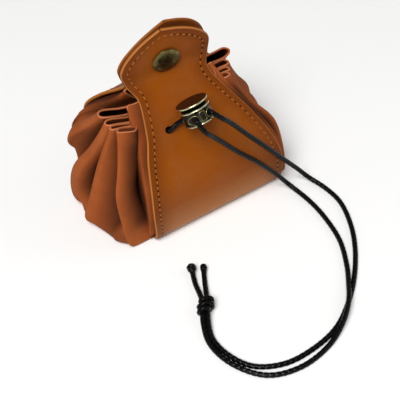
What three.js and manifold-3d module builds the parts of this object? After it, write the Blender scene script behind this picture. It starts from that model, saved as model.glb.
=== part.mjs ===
// Dice bag: one strap of smooth leather makes the front tab, front, bottom, back and back tab.
// Two softer side walls are gathered into pleats, a snap closes the tabs, and a black cord
// comes out through the front, runs through a brass cord lock and lies on the ground.
// Millimetres, +Z up, front towards -Y, origin in the middle of the flat bottom.

import * as THREE from 'three';
import { mergeVertices } from 'three/addons/utils/BufferGeometryUtils.js';
import ManifoldModule from 'manifold-3d';

const wasm = await ManifoldModule();
wasm.setup();

// Leather
const strapThickness = 1.6;
const sideThickness = 1.0;
const gap = 0.3;
const seamGap = 0.6;
const seamOverlap = 4;
const strapColumns = 6;
const strapStepsPerSection = 2;
const sideStepsPerLine = 2;

// The upper part of the soft bag leans to the left and its tabs are turned a little
const leanDegrees = -7.7;
const leanShare = 0.75;
const bodyTwistDegrees = 1.9;
const frontTabTwistDegrees = -10;
const backTabTwistDegrees = -6;
const bodyHeight = 55;
const tabStart = 50;
const tabBlend = 30;
const mouthBlend = 8;
const tiltReach = 18;
const tiltFade = 14;
const backTabSlant = 3.6;
const slantRise = 15;

// Cord and its holes in the front of the strap
const cordRadius = 1.0;
const cordSides = 8;
const strandSteps = 62;
const tailSteps = 6;
const holeRadius = 1.8;
const holeHeight = 52.5;
const leftHole = -11;
const rightHole = 4;
const holeSides = 16;
const drillReach = 2;

// Snap: rows run from the leather to the middle of the outer face, height measured from the leather
const snapHeight = 78.3;
const snapPostRadius = 1.6;
const snapPostHole = 1.9;
const snapDiscRadius = 3.6;
const snapDiscThickness = 0.55;
const snapSides = 20;
const snapCapRows = [
  { name: 'foot', radius: 6.0, height: 0.6 },
  { name: 'rim', radius: 6.5, height: 0.8 },
  { name: 'shoulder', radius: 6.25, height: 1.15 },
  { name: 'dome', radius: 5.1, height: 1.55 },
  { name: 'high dome', radius: 2.8, height: 1.85 },
  { name: 'middle', radius: 0, height: 1.92 },
];
const snapBackRows = [
  { name: 'foot', radius: 4.6, height: 0.5 },
  { name: 'edge', radius: 4.6, height: 1.3 },
  { name: 'face', radius: 4.0, height: 1.7 },
  { name: 'middle', radius: 0, height: 1.7 },
];

// Cord lock: a barrel in front of the leather and a button that is pressed into it
const lockHeight = 51.6;
const lockShift = 0.2;
const lockStandOff = 9.0;
const lockSides = 24;
const barrelHeight = 6.9;
const barrelRadius = 6.3;
const barrelRim = 6.9;
const barrelRimHeight = 1.0;
const barrelBevel = 0.3;
const openingSpread = 3.8;
const openingHalfWidth = 2.0;
const openingHalfHeight = 1.9;
const openingHeight = 2.9;
const openingSides = 14;
const recessRadius = 5.5;
const recessFloor = 5.2;
const boreRadius = 1.1;
const boreFloor = 0.4;
const buttonRadius = 7.2;
const buttonGroove = 1.7;
const buttonThickness = 0.8;
const buttonBevel = 0.25;
const buttonNeckRadius = 5.2;
const buttonNeckFoot = 6.8;
const buttonStemRadius = 0.8;
const buttonStemFoot = 2.4;

// The strap from the middle of its bottom to the tip of a tab, in front and behind: how far its outer
// face stands from the middle of the bag, its height there and half its width
const frontSections = [
  { name: 'bottom middle', out: 0, height: 0, halfWidth: 33.6 },
  { name: 'bottom', out: 17, height: 0, halfWidth: 33.6 },
  { name: 'bend', out: 22.4, height: 1.0, halfWidth: 33.6 },
  { name: 'foot of panel', out: 25.0, height: 4.6, halfWidth: 33.7 },
  { name: 'low panel', out: 26.2, height: 19.8, halfWidth: 33.7 },
  { name: 'middle of panel', out: 23.9, height: 31.7, halfWidth: 31.3 },
  { name: 'high panel', out: 18.7, height: 43.4, halfWidth: 27.0 },
  { name: 'shoulder', out: 12.3, height: 54.9, halfWidth: 20.8 },
  { name: 'neck', out: 5.2, height: 66.4, halfWidth: 16.7 },
  { name: 'tab root', out: 3.2, height: 72.4, halfWidth: 18.9 },
  { name: 'tab widest', out: 4.2, height: 80.0, halfWidth: 20.0 },
  { name: 'tab shoulder', out: 4.7, height: 83.8, halfWidth: 18.2 },
  { name: 'low arch', out: 5.1, height: 87.0, halfWidth: 15.2 },
  { name: 'arch', out: 5.5, height: 90.0, halfWidth: 11.2 },
  { name: 'high arch', out: 5.9, height: 92.6, halfWidth: 6.4 },
  { name: 'tip', out: 6.2, height: 94.8, halfWidth: 0.8 },
];
const backSections = [
  { name: 'bottom middle', out: 0, height: 0, halfWidth: 33.6 },
  { name: 'bottom', out: 17, height: 0, halfWidth: 33.6 },
  { name: 'bend', out: 22.6, height: 1.0, halfWidth: 33.6 },
  { name: 'foot of panel', out: 26.0, height: 4.6, halfWidth: 33.7 },
  { name: 'low panel', out: 29.5, height: 19.8, halfWidth: 33.7 },
  { name: 'middle of panel', out: 30.6, height: 33.5, halfWidth: 32.8 },
  { name: 'high panel', out: 28.5, height: 46.5, halfWidth: 31.0 },
  { name: 'shoulder', out: 21.3, height: 56.6, halfWidth: 24.4 },
  { name: 'neck', out: 8.0, height: 66.4, halfWidth: 17.2 },
  { name: 'tab root', out: 3.2, height: 72.0, halfWidth: 18.9 },
  { name: 'tab widest', out: 1.9, height: 79.4, halfWidth: 20.0 },
  { name: 'tab shoulder', out: 1.5, height: 83.3, halfWidth: 18.2 },
  { name: 'low arch', out: 1.1, height: 86.5, halfWidth: 15.2 },
  { name: 'arch', out: 0.7, height: 89.6, halfWidth: 11.2 },
  { name: 'high arch', out: 0.3, height: 92.2, halfWidth: 6.4 },
  { name: 'tip', out: 0.0, height: 94.4, halfWidth: 0.8 },
];

// Folds of a side wall from front to back. along: where the fold starts, in mm along the strap from
// the middle of the bottom, front negative; footWidth: its width there; face: how far its front edge
// lies further in than its ridge; tuck: how far it is pushed back behind the strip; width: at its
// upper edge. On either side, belly: how far it stands out beyond the strap low down; out, depth and
// height: where its upper edge is
const sideFolds = [
  { name: 'groove by strip', shape: 'groove', along: -21.8, footWidth: 0.4, face: 0,
    tuck: 7, width: 1,
    left: { belly: 0.5, out: 21.6, depth: -7, height: 56.5 },
    right: { belly: 0.5, out: 18.4, depth: -8, height: 56 } },
  { name: 'front pleat', shape: 'upright pleat', along: -20.8, footWidth: 0.8, face: 5.5,
    tuck: 0, width: 3.2,
    left: { belly: 10.5, out: 30.4, depth: -9.8, height: 58 },
    right: { belly: 3.4, out: 25, depth: -6.4, height: 57 } },
  { name: 'groove', shape: 'groove', along: -13, footWidth: 1.6, face: 0,
    tuck: 1, width: 1,
    left: { belly: 14, out: 20.5, depth: -7.2, height: 57 },
    right: { belly: 4, out: 18.5, depth: -5.2, height: 55.8 } },
  { name: 'small pleat', shape: 'sunk pleat', along: 3, footWidth: 3, face: 0,
    tuck: 0, width: 2.2,
    left: { belly: 18.5, out: 32.2, depth: -6, height: 58 },
    right: { belly: 9, out: 27.4, depth: -2.8, height: 57.6 } },
  { name: 'groove', shape: 'groove', along: 8, footWidth: 1.6, face: 0,
    tuck: 1, width: 1,
    left: { belly: 17, out: 19.5, depth: -4.4, height: 57 },
    right: { belly: 7, out: 19, depth: -2.2, height: 56.2 } },
  { name: 'middle pleat', shape: 'upright pleat', along: 18, footWidth: 7, face: 0,
    tuck: 0, width: 3.4,
    left: { belly: 17.2, out: 32.2, depth: -2.2, height: 58 },
    right: { belly: 8, out: 29.2, depth: 1.4, height: 58.4 } },
  { name: 'groove', shape: 'groove', along: 28, footWidth: 2, face: 0,
    tuck: 0, width: 1.2,
    left: { belly: 11, out: 19, depth: 0.6, height: 57 },
    right: { belly: 4, out: 19.6, depth: 2.2, height: 56.6 } },
  { name: 'back pleat', shape: 'back pleat', along: 45, footWidth: 8, face: 0,
    tuck: 0, width: 4.8,
    left: { belly: 9, out: 31.4, depth: 4.4, height: 58 },
    right: { belly: 4.6, out: 33.6, depth: 7.8, height: 58.8 } },
  { name: 'slack', shape: 'slack', along: 55, footWidth: 3, face: 0,
    tuck: 0, width: 1,
    left: { belly: 6, out: 13, depth: 4.6, height: 58 },
    right: { belly: 3.2, out: 16.6, depth: 7.2, height: 57.4 } },
];

// A fold on its way from the strap to its upper edge, in shares. out: of its belly; toTop: of the way
// from there to its upper edge; rise: of its height; depth: of the way back; tuck: of its tuck
const foldShapes = {
  'upright pleat': [
    { name: 'under', out: 0.35, toTop: 0, rise: -0.03, depth: 0, tuck: 0 },
    { name: 'low', out: 0.84, toTop: 0, rise: -0.02, depth: 0, tuck: 0 },
    { name: 'belly', out: 0.98, toTop: 0, rise: 0.07, depth: 0.03, tuck: 0 },
    { name: 'over the belly', out: 0.99, toTop: 0, rise: 0.25, depth: 0.12, tuck: 0 },
    { name: 'middle', out: 0.84, toTop: 0, rise: 0.5, depth: 0.37, tuck: 0 },
    { name: 'high', out: 1, toTop: 0.54, rise: 0.72, depth: 0.68, tuck: 0 },
  ],
  'sunk pleat': [
    { name: 'under', out: 0.35, toTop: 0, rise: -0.03, depth: 0, tuck: 0 },
    { name: 'low', out: 0.86, toTop: 0, rise: -0.02, depth: 0, tuck: 0 },
    { name: 'belly', out: 1, toTop: 0, rise: 0.06, depth: 0.02, tuck: 0 },
    { name: 'over the belly', out: 0.8, toTop: 0, rise: 0.25, depth: 0.08, tuck: 0 },
    { name: 'middle', out: 0.5, toTop: 0, rise: 0.5, depth: 0.2, tuck: 0 },
    { name: 'high', out: 0.38, toTop: 0.38, rise: 0.72, depth: 0.38, tuck: 0 },
  ],
  'back pleat': [
    { name: 'under', out: 0.3, toTop: 0, rise: 0.02, depth: 0, tuck: 0 },
    { name: 'low', out: 0.7, toTop: 0, rise: 0.12, depth: 0, tuck: 0 },
    { name: 'belly', out: 0.95, toTop: 0, rise: 0.27, depth: 0.04, tuck: 0 },
    { name: 'over the belly', out: 1, toTop: 0.14, rise: 0.42, depth: 0.14, tuck: 0 },
    { name: 'middle', out: 1, toTop: 0.44, rise: 0.58, depth: 0.36, tuck: 0 },
    { name: 'high', out: 1, toTop: 0.76, rise: 0.8, depth: 0.7, tuck: 0 },
  ],
  slack: [
    { name: 'under', out: 0.3, toTop: 0, rise: 0.02, depth: 0, tuck: 0 },
    { name: 'low', out: 0.75, toTop: 0, rise: 0.1, depth: 0, tuck: 0 },
    { name: 'belly', out: 1, toTop: 0, rise: 0.25, depth: 0.03, tuck: 0 },
    { name: 'over the belly', out: 1, toTop: 0.08, rise: 0.4, depth: 0.08, tuck: 0 },
    { name: 'middle', out: 1, toTop: 0.18, rise: 0.55, depth: 0.17, tuck: 0 },
    { name: 'high', out: 1, toTop: 0.5, rise: 0.8, depth: 0.56, tuck: 0 },
  ],
  groove: [
    { name: 'under', out: 0.35, toTop: 0, rise: -0.03, depth: 0, tuck: 0 },
    { name: 'low', out: 0.88, toTop: 0, rise: -0.02, depth: 0, tuck: 0 },
    { name: 'belly', out: 0.92, toTop: 0, rise: 0.04, depth: 0.03, tuck: 0.3 },
    { name: 'over the belly', out: 0.3, toTop: 0, rise: 0.18, depth: 0.16, tuck: 0.8 },
    { name: 'middle', out: 0.08, toTop: 0.3, rise: 0.48, depth: 0.42, tuck: 1 },
    { name: 'high', out: 0.2, toTop: 0.8, rise: 0.72, depth: 0.7, tuck: 0.6 },
  ],
};

// Strip of the side wall beside the front of the strap: marks along the strap and its width there;
// behind, the side wall runs along the strap's edge without a strip
const frontStrip = [
  { along: -27, left: 1.1, right: 1.2 },
  { along: -40, left: 1.6, right: 1.4 },
  { along: -54, left: 2.2, right: 1.6 },
  { along: -68, left: 3.0, right: 2.0 },
  { along: -80, left: 4.2, right: 2.4 },
  { along: -93, left: 4.8, right: 2.6 },
];
const frontSeamFeet = [-24.0, -23.2, -22.4];
const backSeam = [62, 70, 78, 87, 96, 104];
const backSeamFeet = [57.0, 58.4];
const stripEdge = 0.9;

// Shares of the way up a side wall at which its sheet is worked out
const sideRows = [0, 0.125, 0.25, 0.375, 0.5, 0.625, 0.69, 0.75, 0.82, 0.88, 0.94, 1];

// Where each strand lies inside the bag, from the middle of the back to its hole
const leftInside = [
  { x: -1.25, y: 12.6, z: 54 },
  { x: -7, y: 11.4, z: 54 },
  { x: -12, y: 4, z: 54 },
  { x: -12.2, y: -4, z: 53.4 },
];
const rightInside = [
  { x: 1.25, y: 12.6, z: 54 },
  { x: 5.6, y: 10.6, z: 54 },
  { x: 7.2, y: 4, z: 54 },
  { x: 5.4, y: -4, z: 53.4 },
];

// Distances of the cord from the strap's outer face at its hole
const holeRoute = [-2.6, 0.6];

// Each strand through the cord lock: across and out from the barrel's axis, up from its foot
const leftLock = [
  { across: -6.9, out: -6.4, up: 2.4 },
  { across: -3.8, out: -3.4, up: 2.9 },
  { across: -3.8, out: 3.6, up: 2.9 },
  { across: -3.8, out: 6.8, up: 2.8 },
];
const rightLock = [
  { across: 3.8, out: -6.4, up: 2.6 },
  { across: 3.8, out: -3.0, up: 2.9 },
  { across: 3.8, out: 3.6, up: 2.9 },
  { across: 3.8, out: 6.8, up: 2.8 },
];

// Where the cord lies after the cord lock: down over the front and along the ground
const leftRoute = [
  { x: -7.6, y: -29.8, z: 57.4 },
  { x: -3.2, y: -29.0, z: 51.4 },
  { x: 2.6, y: -28.3, z: 43.6 },
  { x: 8.9, y: -28.2, z: 35.4 },
  { x: 17.6, y: -29.1, z: 25.4 },
  { x: 27.5, y: -29.2, z: 12.0 },
  { x: 33.4, y: -31.4, z: 3.4 },
  { x: 36.0, y: -42.7, z: 1.2 },
  { x: 35.7, y: -54.6, z: 1.1 },
  { x: 32.7, y: -70.0, z: 1.1 },
  { x: 26.8, y: -82.4, z: 1.2 },
  { x: 20.2, y: -92.2, z: 2.4 },
  { x: 14.0, y: -100.0, z: 3.9 },
  { x: 6.6, y: -106.2, z: 3.0 },
  { x: -4.4, y: -111.4, z: 1.1 },
  { x: -20.0, y: -113.4, z: 1.1 },
  { x: -33.0, y: -109.0, z: 1.1 },
  { x: -41.4, y: -97.0, z: 1.1 },
  { x: -43.6, y: -84.0, z: 1.2 },
  { x: -39.6, y: -72.1, z: 2.9 },
];
const rightRoute = [
  { x: 1.4, y: -28.6, z: 59.2 },
  { x: 5.9, y: -28.2, z: 53.9 },
  { x: 14.4, y: -28.2, z: 42.2 },
  { x: 23.1, y: -28.9, z: 30.8 },
  { x: 32.8, y: -29.3, z: 17.6 },
  { x: 39.4, y: -30.0, z: 8.8 },
  { x: 43.6, y: -32.6, z: 3.2 },
  { x: 46.8, y: -41.0, z: 1.2 },
  { x: 47.0, y: -52.0, z: 1.1 },
  { x: 42.4, y: -65.5, z: 1.1 },
  { x: 35.3, y: -77.6, z: 1.1 },
  { x: 24.6, y: -90.4, z: 1.1 },
  { x: 14.0, y: -99.6, z: 1.1 },
  { x: 2.6, y: -106.4, z: 1.1 },
  { x: -10.0, y: -109.2, z: 1.1 },
  { x: -24.0, y: -108.6, z: 1.1 },
  { x: -35.0, y: -102.6, z: 1.1 },
  { x: -40.2, y: -92.9, z: 1.1 },
  { x: -40.9, y: -82.0, z: 1.2 },
  { x: -37.2, y: -73.2, z: 2.9 },
];
const knotPlace = { x: -35.7, y: -68.0, z: 3.3 };
const knotTurnDegrees = -30;
const knotCore = { x: 2.7, y: 5.2, z: 2.3 };
const knotWraps = [
  { along: -2.0, tilt: 18 },
  { along: 2.0, tilt: -24 },
];
const knotWrapRadius = 2.3;
const knotSides = 12;
const knotRings = 8;
const wrapSides = 6;
const wrapSteps = 14;
const tailKnotSides = 10;
const leftTailRoute = [
  { x: -34.7, y: -62.95, z: 2.4 },
  { x: -32.0, y: -53.9, z: 1.1 },
  { x: -28.8, y: -46.2, z: 1.3 },
];
const rightTailRoute = [
  { x: -32.2, y: -63.8, z: 2.4 },
  { x: -28.1, y: -55.4, z: 1.1 },
  { x: -24.2, y: -49.0, z: 1.1 },
];
const leftTailKnot = 2.1;
const rightTailKnot = 1.6;

// Small helpers
const ease = (t) => THREE.MathUtils.smoothstep(t, 0, 1);
const mix = THREE.MathUtils.lerp;
const radians = THREE.MathUtils.degToRad;
const vector = (p) => new THREE.Vector3(p.x, p.y, p.z);

// Turns an upright point of the bag into its place in the leaning, slightly turned soft bag
function settle(p) {
  const body = ease(p.z / bodyHeight);
  const tab = ease((p.z - tabStart) / tabBlend);
  const behind = ease((p.y + mouthBlend) / (2 * mouthBlend));
  const tabTwist = mix(frontTabTwistDegrees, backTabTwistDegrees, behind);
  const twist = radians(bodyTwistDegrees * body + tabTwist * tab);
  const lean = radians(leanDegrees * body);
  const shift = Math.tan(radians(leanDegrees)) * p.z * leanShare * body;
  const lever = p.x * (1 - ease((Math.abs(p.x) - tiltReach) / tiltFade));
  return new THREE.Vector3(
    p.x * Math.cos(twist) * Math.cos(lean) - p.y * Math.sin(twist) + shift,
    p.x * Math.sin(twist) + p.y * Math.cos(twist),
    p.z - lever * Math.sin(lean),
  );
}

// Closed solid from a grid of points in the middle of a sheet, given a thickness along its normals
function sheetSolid(grid, thickness) {
  const rows = grid.length;
  const columns = grid[0].length;
  const normalAt = (i, j) => {
    const along = grid[Math.min(i + 1, rows - 1)][j].clone().sub(grid[Math.max(i - 1, 0)][j]);
    const across = grid[i][Math.min(j + 1, columns - 1)].clone().sub(grid[i][Math.max(j - 1, 0)]);
    return across.cross(along).normalize();
  };
  const positions = [];
  for (const side of [0.5, -0.5]) {
    for (let i = 0; i < rows; i += 1) {
      for (let j = 0; j < columns; j += 1) {
        positions.push(...grid[i][j].clone().addScaledVector(normalAt(i, j), side * thickness).toArray());
      }
    }
  }
  const point = (side, i, j) => side * rows * columns + i * columns + j;
  const indices = [];
  const quad = (a, b, c, d) => indices.push(a, b, c, a, c, d);
  for (let i = 0; i < rows - 1; i += 1) {
    for (let j = 0; j < columns - 1; j += 1) {
      quad(point(0, i, j), point(0, i, j + 1), point(0, i + 1, j + 1), point(0, i + 1, j));
      quad(point(1, i, j), point(1, i + 1, j), point(1, i + 1, j + 1), point(1, i, j + 1));
    }
  }
  for (let i = 0; i < rows - 1; i += 1) {
    quad(point(0, i, 0), point(0, i + 1, 0), point(1, i + 1, 0), point(1, i, 0));
    const last = columns - 1;
    quad(point(0, i + 1, last), point(0, i, last), point(1, i, last), point(1, i + 1, last));
  }
  for (let j = 0; j < columns - 1; j += 1) {
    quad(point(0, 0, j + 1), point(0, 0, j), point(1, 0, j), point(1, 0, j + 1));
    const last = rows - 1;
    quad(point(0, last, j), point(0, last, j + 1), point(1, last, j + 1), point(1, last, j));
  }
  const geometry = new THREE.BufferGeometry();
  geometry.setAttribute('position', new THREE.Float32BufferAttribute(positions, 3));
  geometry.setIndex(indices);
  return facingOut(geometry);
}

// Turns every triangle over when the solid is inside out
function facingOut(geometry) {
  const index = geometry.getIndex();
  const position = geometry.getAttribute('position');
  const corner = (k) => new THREE.Vector3().fromBufferAttribute(position, index.getX(k));
  let volume = 0;
  for (let k = 0; k < index.count; k += 3) {
    volume += corner(k).dot(corner(k + 1).cross(corner(k + 2)));
  }
  if (volume < 0) {
    for (let k = 0; k < index.count; k += 3) {
      const first = index.getX(k);
      index.setX(k, index.getX(k + 1));
      index.setX(k + 1, first);
    }
  }
  return geometry;
}

// Solids for joining and cutting
function solidOf(geometry) {
  const bare = geometry.clone();
  bare.deleteAttribute('normal');
  bare.deleteAttribute('uv');
  const merged = mergeVertices(bare, 1e-4);
  return new wasm.Manifold(new wasm.Mesh({
    numProp: 3,
    vertProperties: new Float32Array(merged.getAttribute('position').array),
    triVerts: new Uint32Array(merged.getIndex().array),
  }));
}

function geometryOf(solid) {
  const mesh = solid.getMesh();
  const geometry = new THREE.BufferGeometry();
  geometry.setAttribute('position', new THREE.Float32BufferAttribute(mesh.vertProperties, 3));
  geometry.setIndex(new THREE.Uint32BufferAttribute(mesh.triVerts, 1));
  return geometry;
}

// Round bar between two points
function bar(from, to, radius, sides) {
  const length = from.distanceTo(to);
  const geometry = new THREE.CylinderGeometry(radius, radius, length, sides);
  const direction = to.clone().sub(from).normalize();
  const turn = new THREE.Quaternion().setFromUnitVectors(new THREE.Vector3(0, 1, 0), direction);
  geometry.applyQuaternion(turn);
  geometry.translate(...from.clone().add(to).multiplyScalar(0.5).toArray());
  return geometry;
}

// Turned shape around the upright axis, from rows of radius and height that start and end on the axis
function turned(profile, sides) {
  return new THREE.LatheGeometry(profile.map((row) => new THREE.Vector2(row[0], row[1])), sides);
}

// Cord of round section along a smooth line through the given points
function cordAlong(points, steps) {
  const section = new THREE.Shape();
  for (let k = 0; k < cordSides; k += 1) {
    const angle = (2 * Math.PI * k) / cordSides;
    section[k === 0 ? 'moveTo' : 'lineTo'](cordRadius * Math.cos(angle), cordRadius * Math.sin(angle));
  }
  section.closePath();
  const path = new THREE.CatmullRomCurve3(points);
  return new THREE.ExtrudeGeometry(section, { steps, extrudePath: path, bevelEnabled: false });
}

// The strap's outer line from the front tip over the bottom to the back tip; x holds half the width
function strapLine() {
  const front = frontSections.map((s) => new THREE.Vector3(s.halfWidth, -s.out, s.height));
  const back = backSections.map((s) => new THREE.Vector3(s.halfWidth, s.out, s.height));
  return new THREE.CatmullRomCurve3([...front.reverse(), ...back.slice(1)]);
}

// Stations along the strap: half width, place of the outer face, inward direction and distance
// along the strap from the middle of the bottom, front negative
function strapStations() {
  const steps = (frontSections.length + backSections.length - 2) * strapStepsPerSection;
  const line = strapLine();
  const stations = [];
  for (let k = 0; k <= steps; k += 1) {
    const p = line.getPoint(k / steps);
    stations.push({ halfWidth: p.x, y: p.y, z: Math.max(p.z, 0), along: 0 });
  }
  for (let k = 1; k <= steps; k += 1) {
    const last = stations[k - 1];
    stations[k].along = last.along + Math.hypot(stations[k].y - last.y, stations[k].z - last.z);
  }
  const middle = stations[steps / 2].along;
  stations.forEach((station, k) => {
    const before = stations[Math.max(k - 1, 0)];
    const after = stations[Math.min(k + 1, steps)];
    const run = Math.hypot(after.y - before.y, after.z - before.z);
    station.along -= middle;
    station.inY = -(after.z - before.z) / run;
    station.inZ = (after.y - before.y) / run;
  });
  return stations;
}
const stations = strapStations();

// Station at a distance along the strap, between the two nearest ones
function stationAt(along) {
  const k = THREE.MathUtils.clamp(stations.findIndex((s) => s.along >= along), 1, stations.length - 1);
  const a = stations[k - 1];
  const b = stations[k];
  const t = (along - a.along) / (b.along - a.along);
  const keys = ['along', 'halfWidth', 'y', 'z', 'inY', 'inZ'];
  return Object.fromEntries(keys.map((key) => [key, mix(a[key], b[key], t)]));
}

// Station of the front or back of the strap at a height above the bottom
function stationAtHeight(height, isBack) {
  const half = isBack ? stations.filter((s) => s.along > 0) : stations.filter((s) => s.along < 0).reverse();
  const k = half.findIndex((s) => s.z >= height);
  const t = (height - half[k - 1].z) / (half[k].z - half[k - 1].z);
  return stationAt(mix(half[k - 1].along, half[k].along, t));
}

// Point of the upright bag beside a station: out from the middle and in from the strap's outer face;
// above the snap the back tab slants to the right
function besideStrap(station, out, inward) {
  const slant = station.along > 0 ? backTabSlant * ease((station.z - snapHeight) / slantRise) : 0;
  return new THREE.Vector3(out + slant, station.y + inward * station.inY, station.z + inward * station.inZ);
}

// Place and directions on the leaning strap: across, up the strap and out of its face
function strapFrame(height, x, isBack) {
  const station = stationAtHeight(height, isBack);
  const above = stationAtHeight(height + 0.5, isBack);
  const origin = settle(besideStrap(station, x, 0));
  const across = settle(besideStrap(station, x + 0.5, 0)).sub(origin).normalize();
  const up = settle(besideStrap(above, x, 0)).sub(origin);
  up.addScaledVector(across, -up.dot(across)).normalize();
  const outward = across.clone().cross(up).multiplyScalar(isBack ? -1 : 1).normalize();
  return { origin, across, up, outward };
}

// Strap with two holes for the cord and two for the snap
function strapGeometry() {
  const grid = stations.map((station) => {
    const row = [];
    for (let j = 0; j <= strapColumns; j += 1) {
      const x = mix(-station.halfWidth, station.halfWidth, j / strapColumns);
      row.push(settle(besideStrap(station, x, strapThickness / 2)));
    }
    return row;
  });
  let solid = solidOf(sheetSolid(grid, strapThickness));
  const drill = (frame, radius) => {
    const from = frame.origin.clone().addScaledVector(frame.outward, drillReach);
    const to = frame.origin.clone().addScaledVector(frame.outward, -strapThickness - drillReach);
    solid = solid.subtract(solidOf(bar(from, to, radius, holeSides)));
  };
  drill(strapFrame(holeHeight, leftHole, false), holeRadius);
  drill(strapFrame(holeHeight, rightHole, false), holeRadius);
  drill(strapFrame(snapHeight, 0, false), snapPostHole);
  drill(strapFrame(snapHeight, 0, true), snapPostHole);
  return geometryOf(solid);
}

// Point of a side wall inside the strap: along the strap and out beyond its edge
function insideStrap(along, out) {
  const station = stationAt(along);
  return besideStrap(station, station.halfWidth + out, strapThickness + seamGap + sideThickness / 2);
}

// Line that runs up beside the strap's edge from its foot
function seamLine(foot, marks, outAt) {
  return [insideStrap(foot, -seamOverlap), ...marks.map((mark) => insideStrap(mark.along, outAt(mark)))];
}

// One edge of a fold: out under the strap, round the belly and up to the gathered edge
function foldLine(fold, half, sideName) {
  const place = fold[sideName];
  const start = fold.along + half * fold.footWidth;
  const seam = insideStrap(start, -seamOverlap);
  const rim = insideStrap(start, stripEdge);
  const inset = fold.face * (place.belly / fold.left.belly) * Math.max(-2 * half, 0);
  const top = new THREE.Vector3(place.out - inset, place.depth + half * fold.width, place.height);
  const reach = place.belly - inset;
  const between = foldShapes[fold.shape].map((share) => new THREE.Vector3(
    mix(rim.x + reach * share.out, top.x, share.toTop),
    mix(rim.y, top.y, share.depth) + fold.tuck * share.tuck,
    rim.z + (top.z - rim.z) * share.rise,
  ));
  return [seam, rim, ...between, top];
}

// Lines of a side wall from its foot inside the strap to its free upper edge, front to back
function sideLines(sideName) {
  const stripOuts = [() => -seamOverlap, () => stripEdge, (mark) => mark[sideName]];
  const front = frontSeamFeet.map((foot, k) => seamLine(foot, frontStrip, stripOuts[k]));
  const folds = sideFolds.flatMap((fold) => [-0.5, 0.5].map((half) => foldLine(fold, half, sideName)));
  const backMarks = backSeam.map((along) => ({ along }));
  const backOuts = [() => stripEdge, () => -seamOverlap];
  const back = backSeamFeet.map((foot, k) => seamLine(foot, backMarks, backOuts[k]));
  return [...front, ...folds, ...back];
}

// Side wall: a smooth sheet through its lines
function sideGeometry(sideName) {
  const side = sideName === 'left' ? -1 : 1;
  const curves = sideLines(sideName).map((points) => new THREE.CatmullRomCurve3(points));
  const grid = sideRows.map((share) => {
    const across = new THREE.CatmullRomCurve3(curves.map((curve) => curve.getPoint(share)));
    const steps = (curves.length - 1) * sideStepsPerLine;
    const row = [];
    for (let j = 0; j <= steps; j += 1) {
      const p = across.getPoint(j / steps);
      row.push(settle(new THREE.Vector3(side * p.x, p.y, Math.max(p.z, sideThickness / 2))));
    }
    return row;
  });
  return sheetSolid(grid, sideThickness);
}

// Moves a shape built around the upright axis into a frame of the strap
function placeIn(geometry, frame, distance) {
  const inward = frame.up.clone().cross(frame.across);
  const matrix = new THREE.Matrix4().makeBasis(frame.across, inward, frame.up);
  matrix.setPosition(frame.origin.clone().addScaledVector(frame.outward, distance));
  return geometry.applyMatrix4(matrix);
}

// Moves a shape whose axis is upright so that the axis points out of the strap's face
function standOn(geometry, frame) {
  const along = frame.outward.clone().cross(frame.across);
  const matrix = new THREE.Matrix4().makeBasis(frame.across, along, frame.outward);
  matrix.setPosition(frame.origin);
  return geometry.applyMatrix4(matrix);
}

// Lathe shapes turn around Y; this stands them upright
const upright = (geometry) => geometry.rotateX(Math.PI / 2);

// Snap: a low dome outside, a post through the leather and a plain disc inside
function snapGeometry(isBack) {
  const frame = strapFrame(snapHeight, 0, isBack);
  const rows = isBack ? snapBackRows : snapCapRows;
  const inside = -strapThickness - gap;
  const profile = [
    [0, inside - snapDiscThickness],
    [snapDiscRadius, inside - snapDiscThickness],
    [snapDiscRadius, inside],
    [snapPostRadius, inside],
    [snapPostRadius, rows[0].height],
    ...rows.map((row) => [row.radius, row.height]),
  ];
  return standOn(upright(turned(profile, snapSides)), frame);
}

// Cord lock: frame at the foot of the barrel, a little in front of the leather
const lockFrame = strapFrame(lockHeight, lockShift, false);

// Barrel with two openings for the cord, a recess for the button and a blind bore for its stem
function barrelGeometry() {
  const rimSide = barrelRimHeight - barrelBevel;
  const profile = [
    [0, 0],
    [barrelRim - barrelBevel, 0],
    [barrelRim, barrelBevel],
    [barrelRim, rimSide],
    [barrelRadius, barrelRimHeight],
    [barrelRadius, barrelHeight - barrelRimHeight],
    [barrelRim, barrelHeight - rimSide],
    [barrelRim, barrelHeight - barrelBevel],
    [barrelRim - barrelBevel, barrelHeight],
    [recessRadius, barrelHeight],
    [recessRadius, recessFloor],
    [boreRadius, recessFloor],
    [boreRadius, boreFloor],
    [0, boreFloor],
  ];
  let solid = solidOf(upright(turned(profile, lockSides)));
  for (const side of [-1, 1]) {
    const opening = new THREE.CylinderGeometry(1, 1, 4 * barrelRim, openingSides);
    opening.scale(openingHalfWidth, 1, openingHalfHeight);
    opening.translate(side * openingSpread, 0, openingHeight);
    solid = solid.subtract(solidOf(opening));
  }
  return placeIn(geometryOf(solid), lockFrame, lockStandOff);
}

// Button: a flat cap, a neck that dips into the barrel and a stem that guides it
function buttonGeometry() {
  const under = barrelHeight + buttonGroove;
  const over = under + buttonThickness;
  const profile = [
    [0, buttonStemFoot],
    [buttonStemRadius, buttonStemFoot],
    [buttonStemRadius, buttonNeckFoot],
    [buttonNeckRadius, buttonNeckFoot],
    [buttonNeckRadius, under],
    [buttonRadius, under],
    [buttonRadius, over - buttonBevel],
    [buttonRadius - buttonBevel, over],
    [0, over],
  ];
  return placeIn(upright(turned(profile, lockSides)), lockFrame, lockStandOff);
}

// Point beside the barrel: across, out from its axis and up from its foot
function atLock(across, outward, up) {
  return lockFrame.origin.clone()
    .addScaledVector(lockFrame.across, across)
    .addScaledVector(lockFrame.outward, lockStandOff + outward)
    .addScaledVector(lockFrame.up, up);
}

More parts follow.
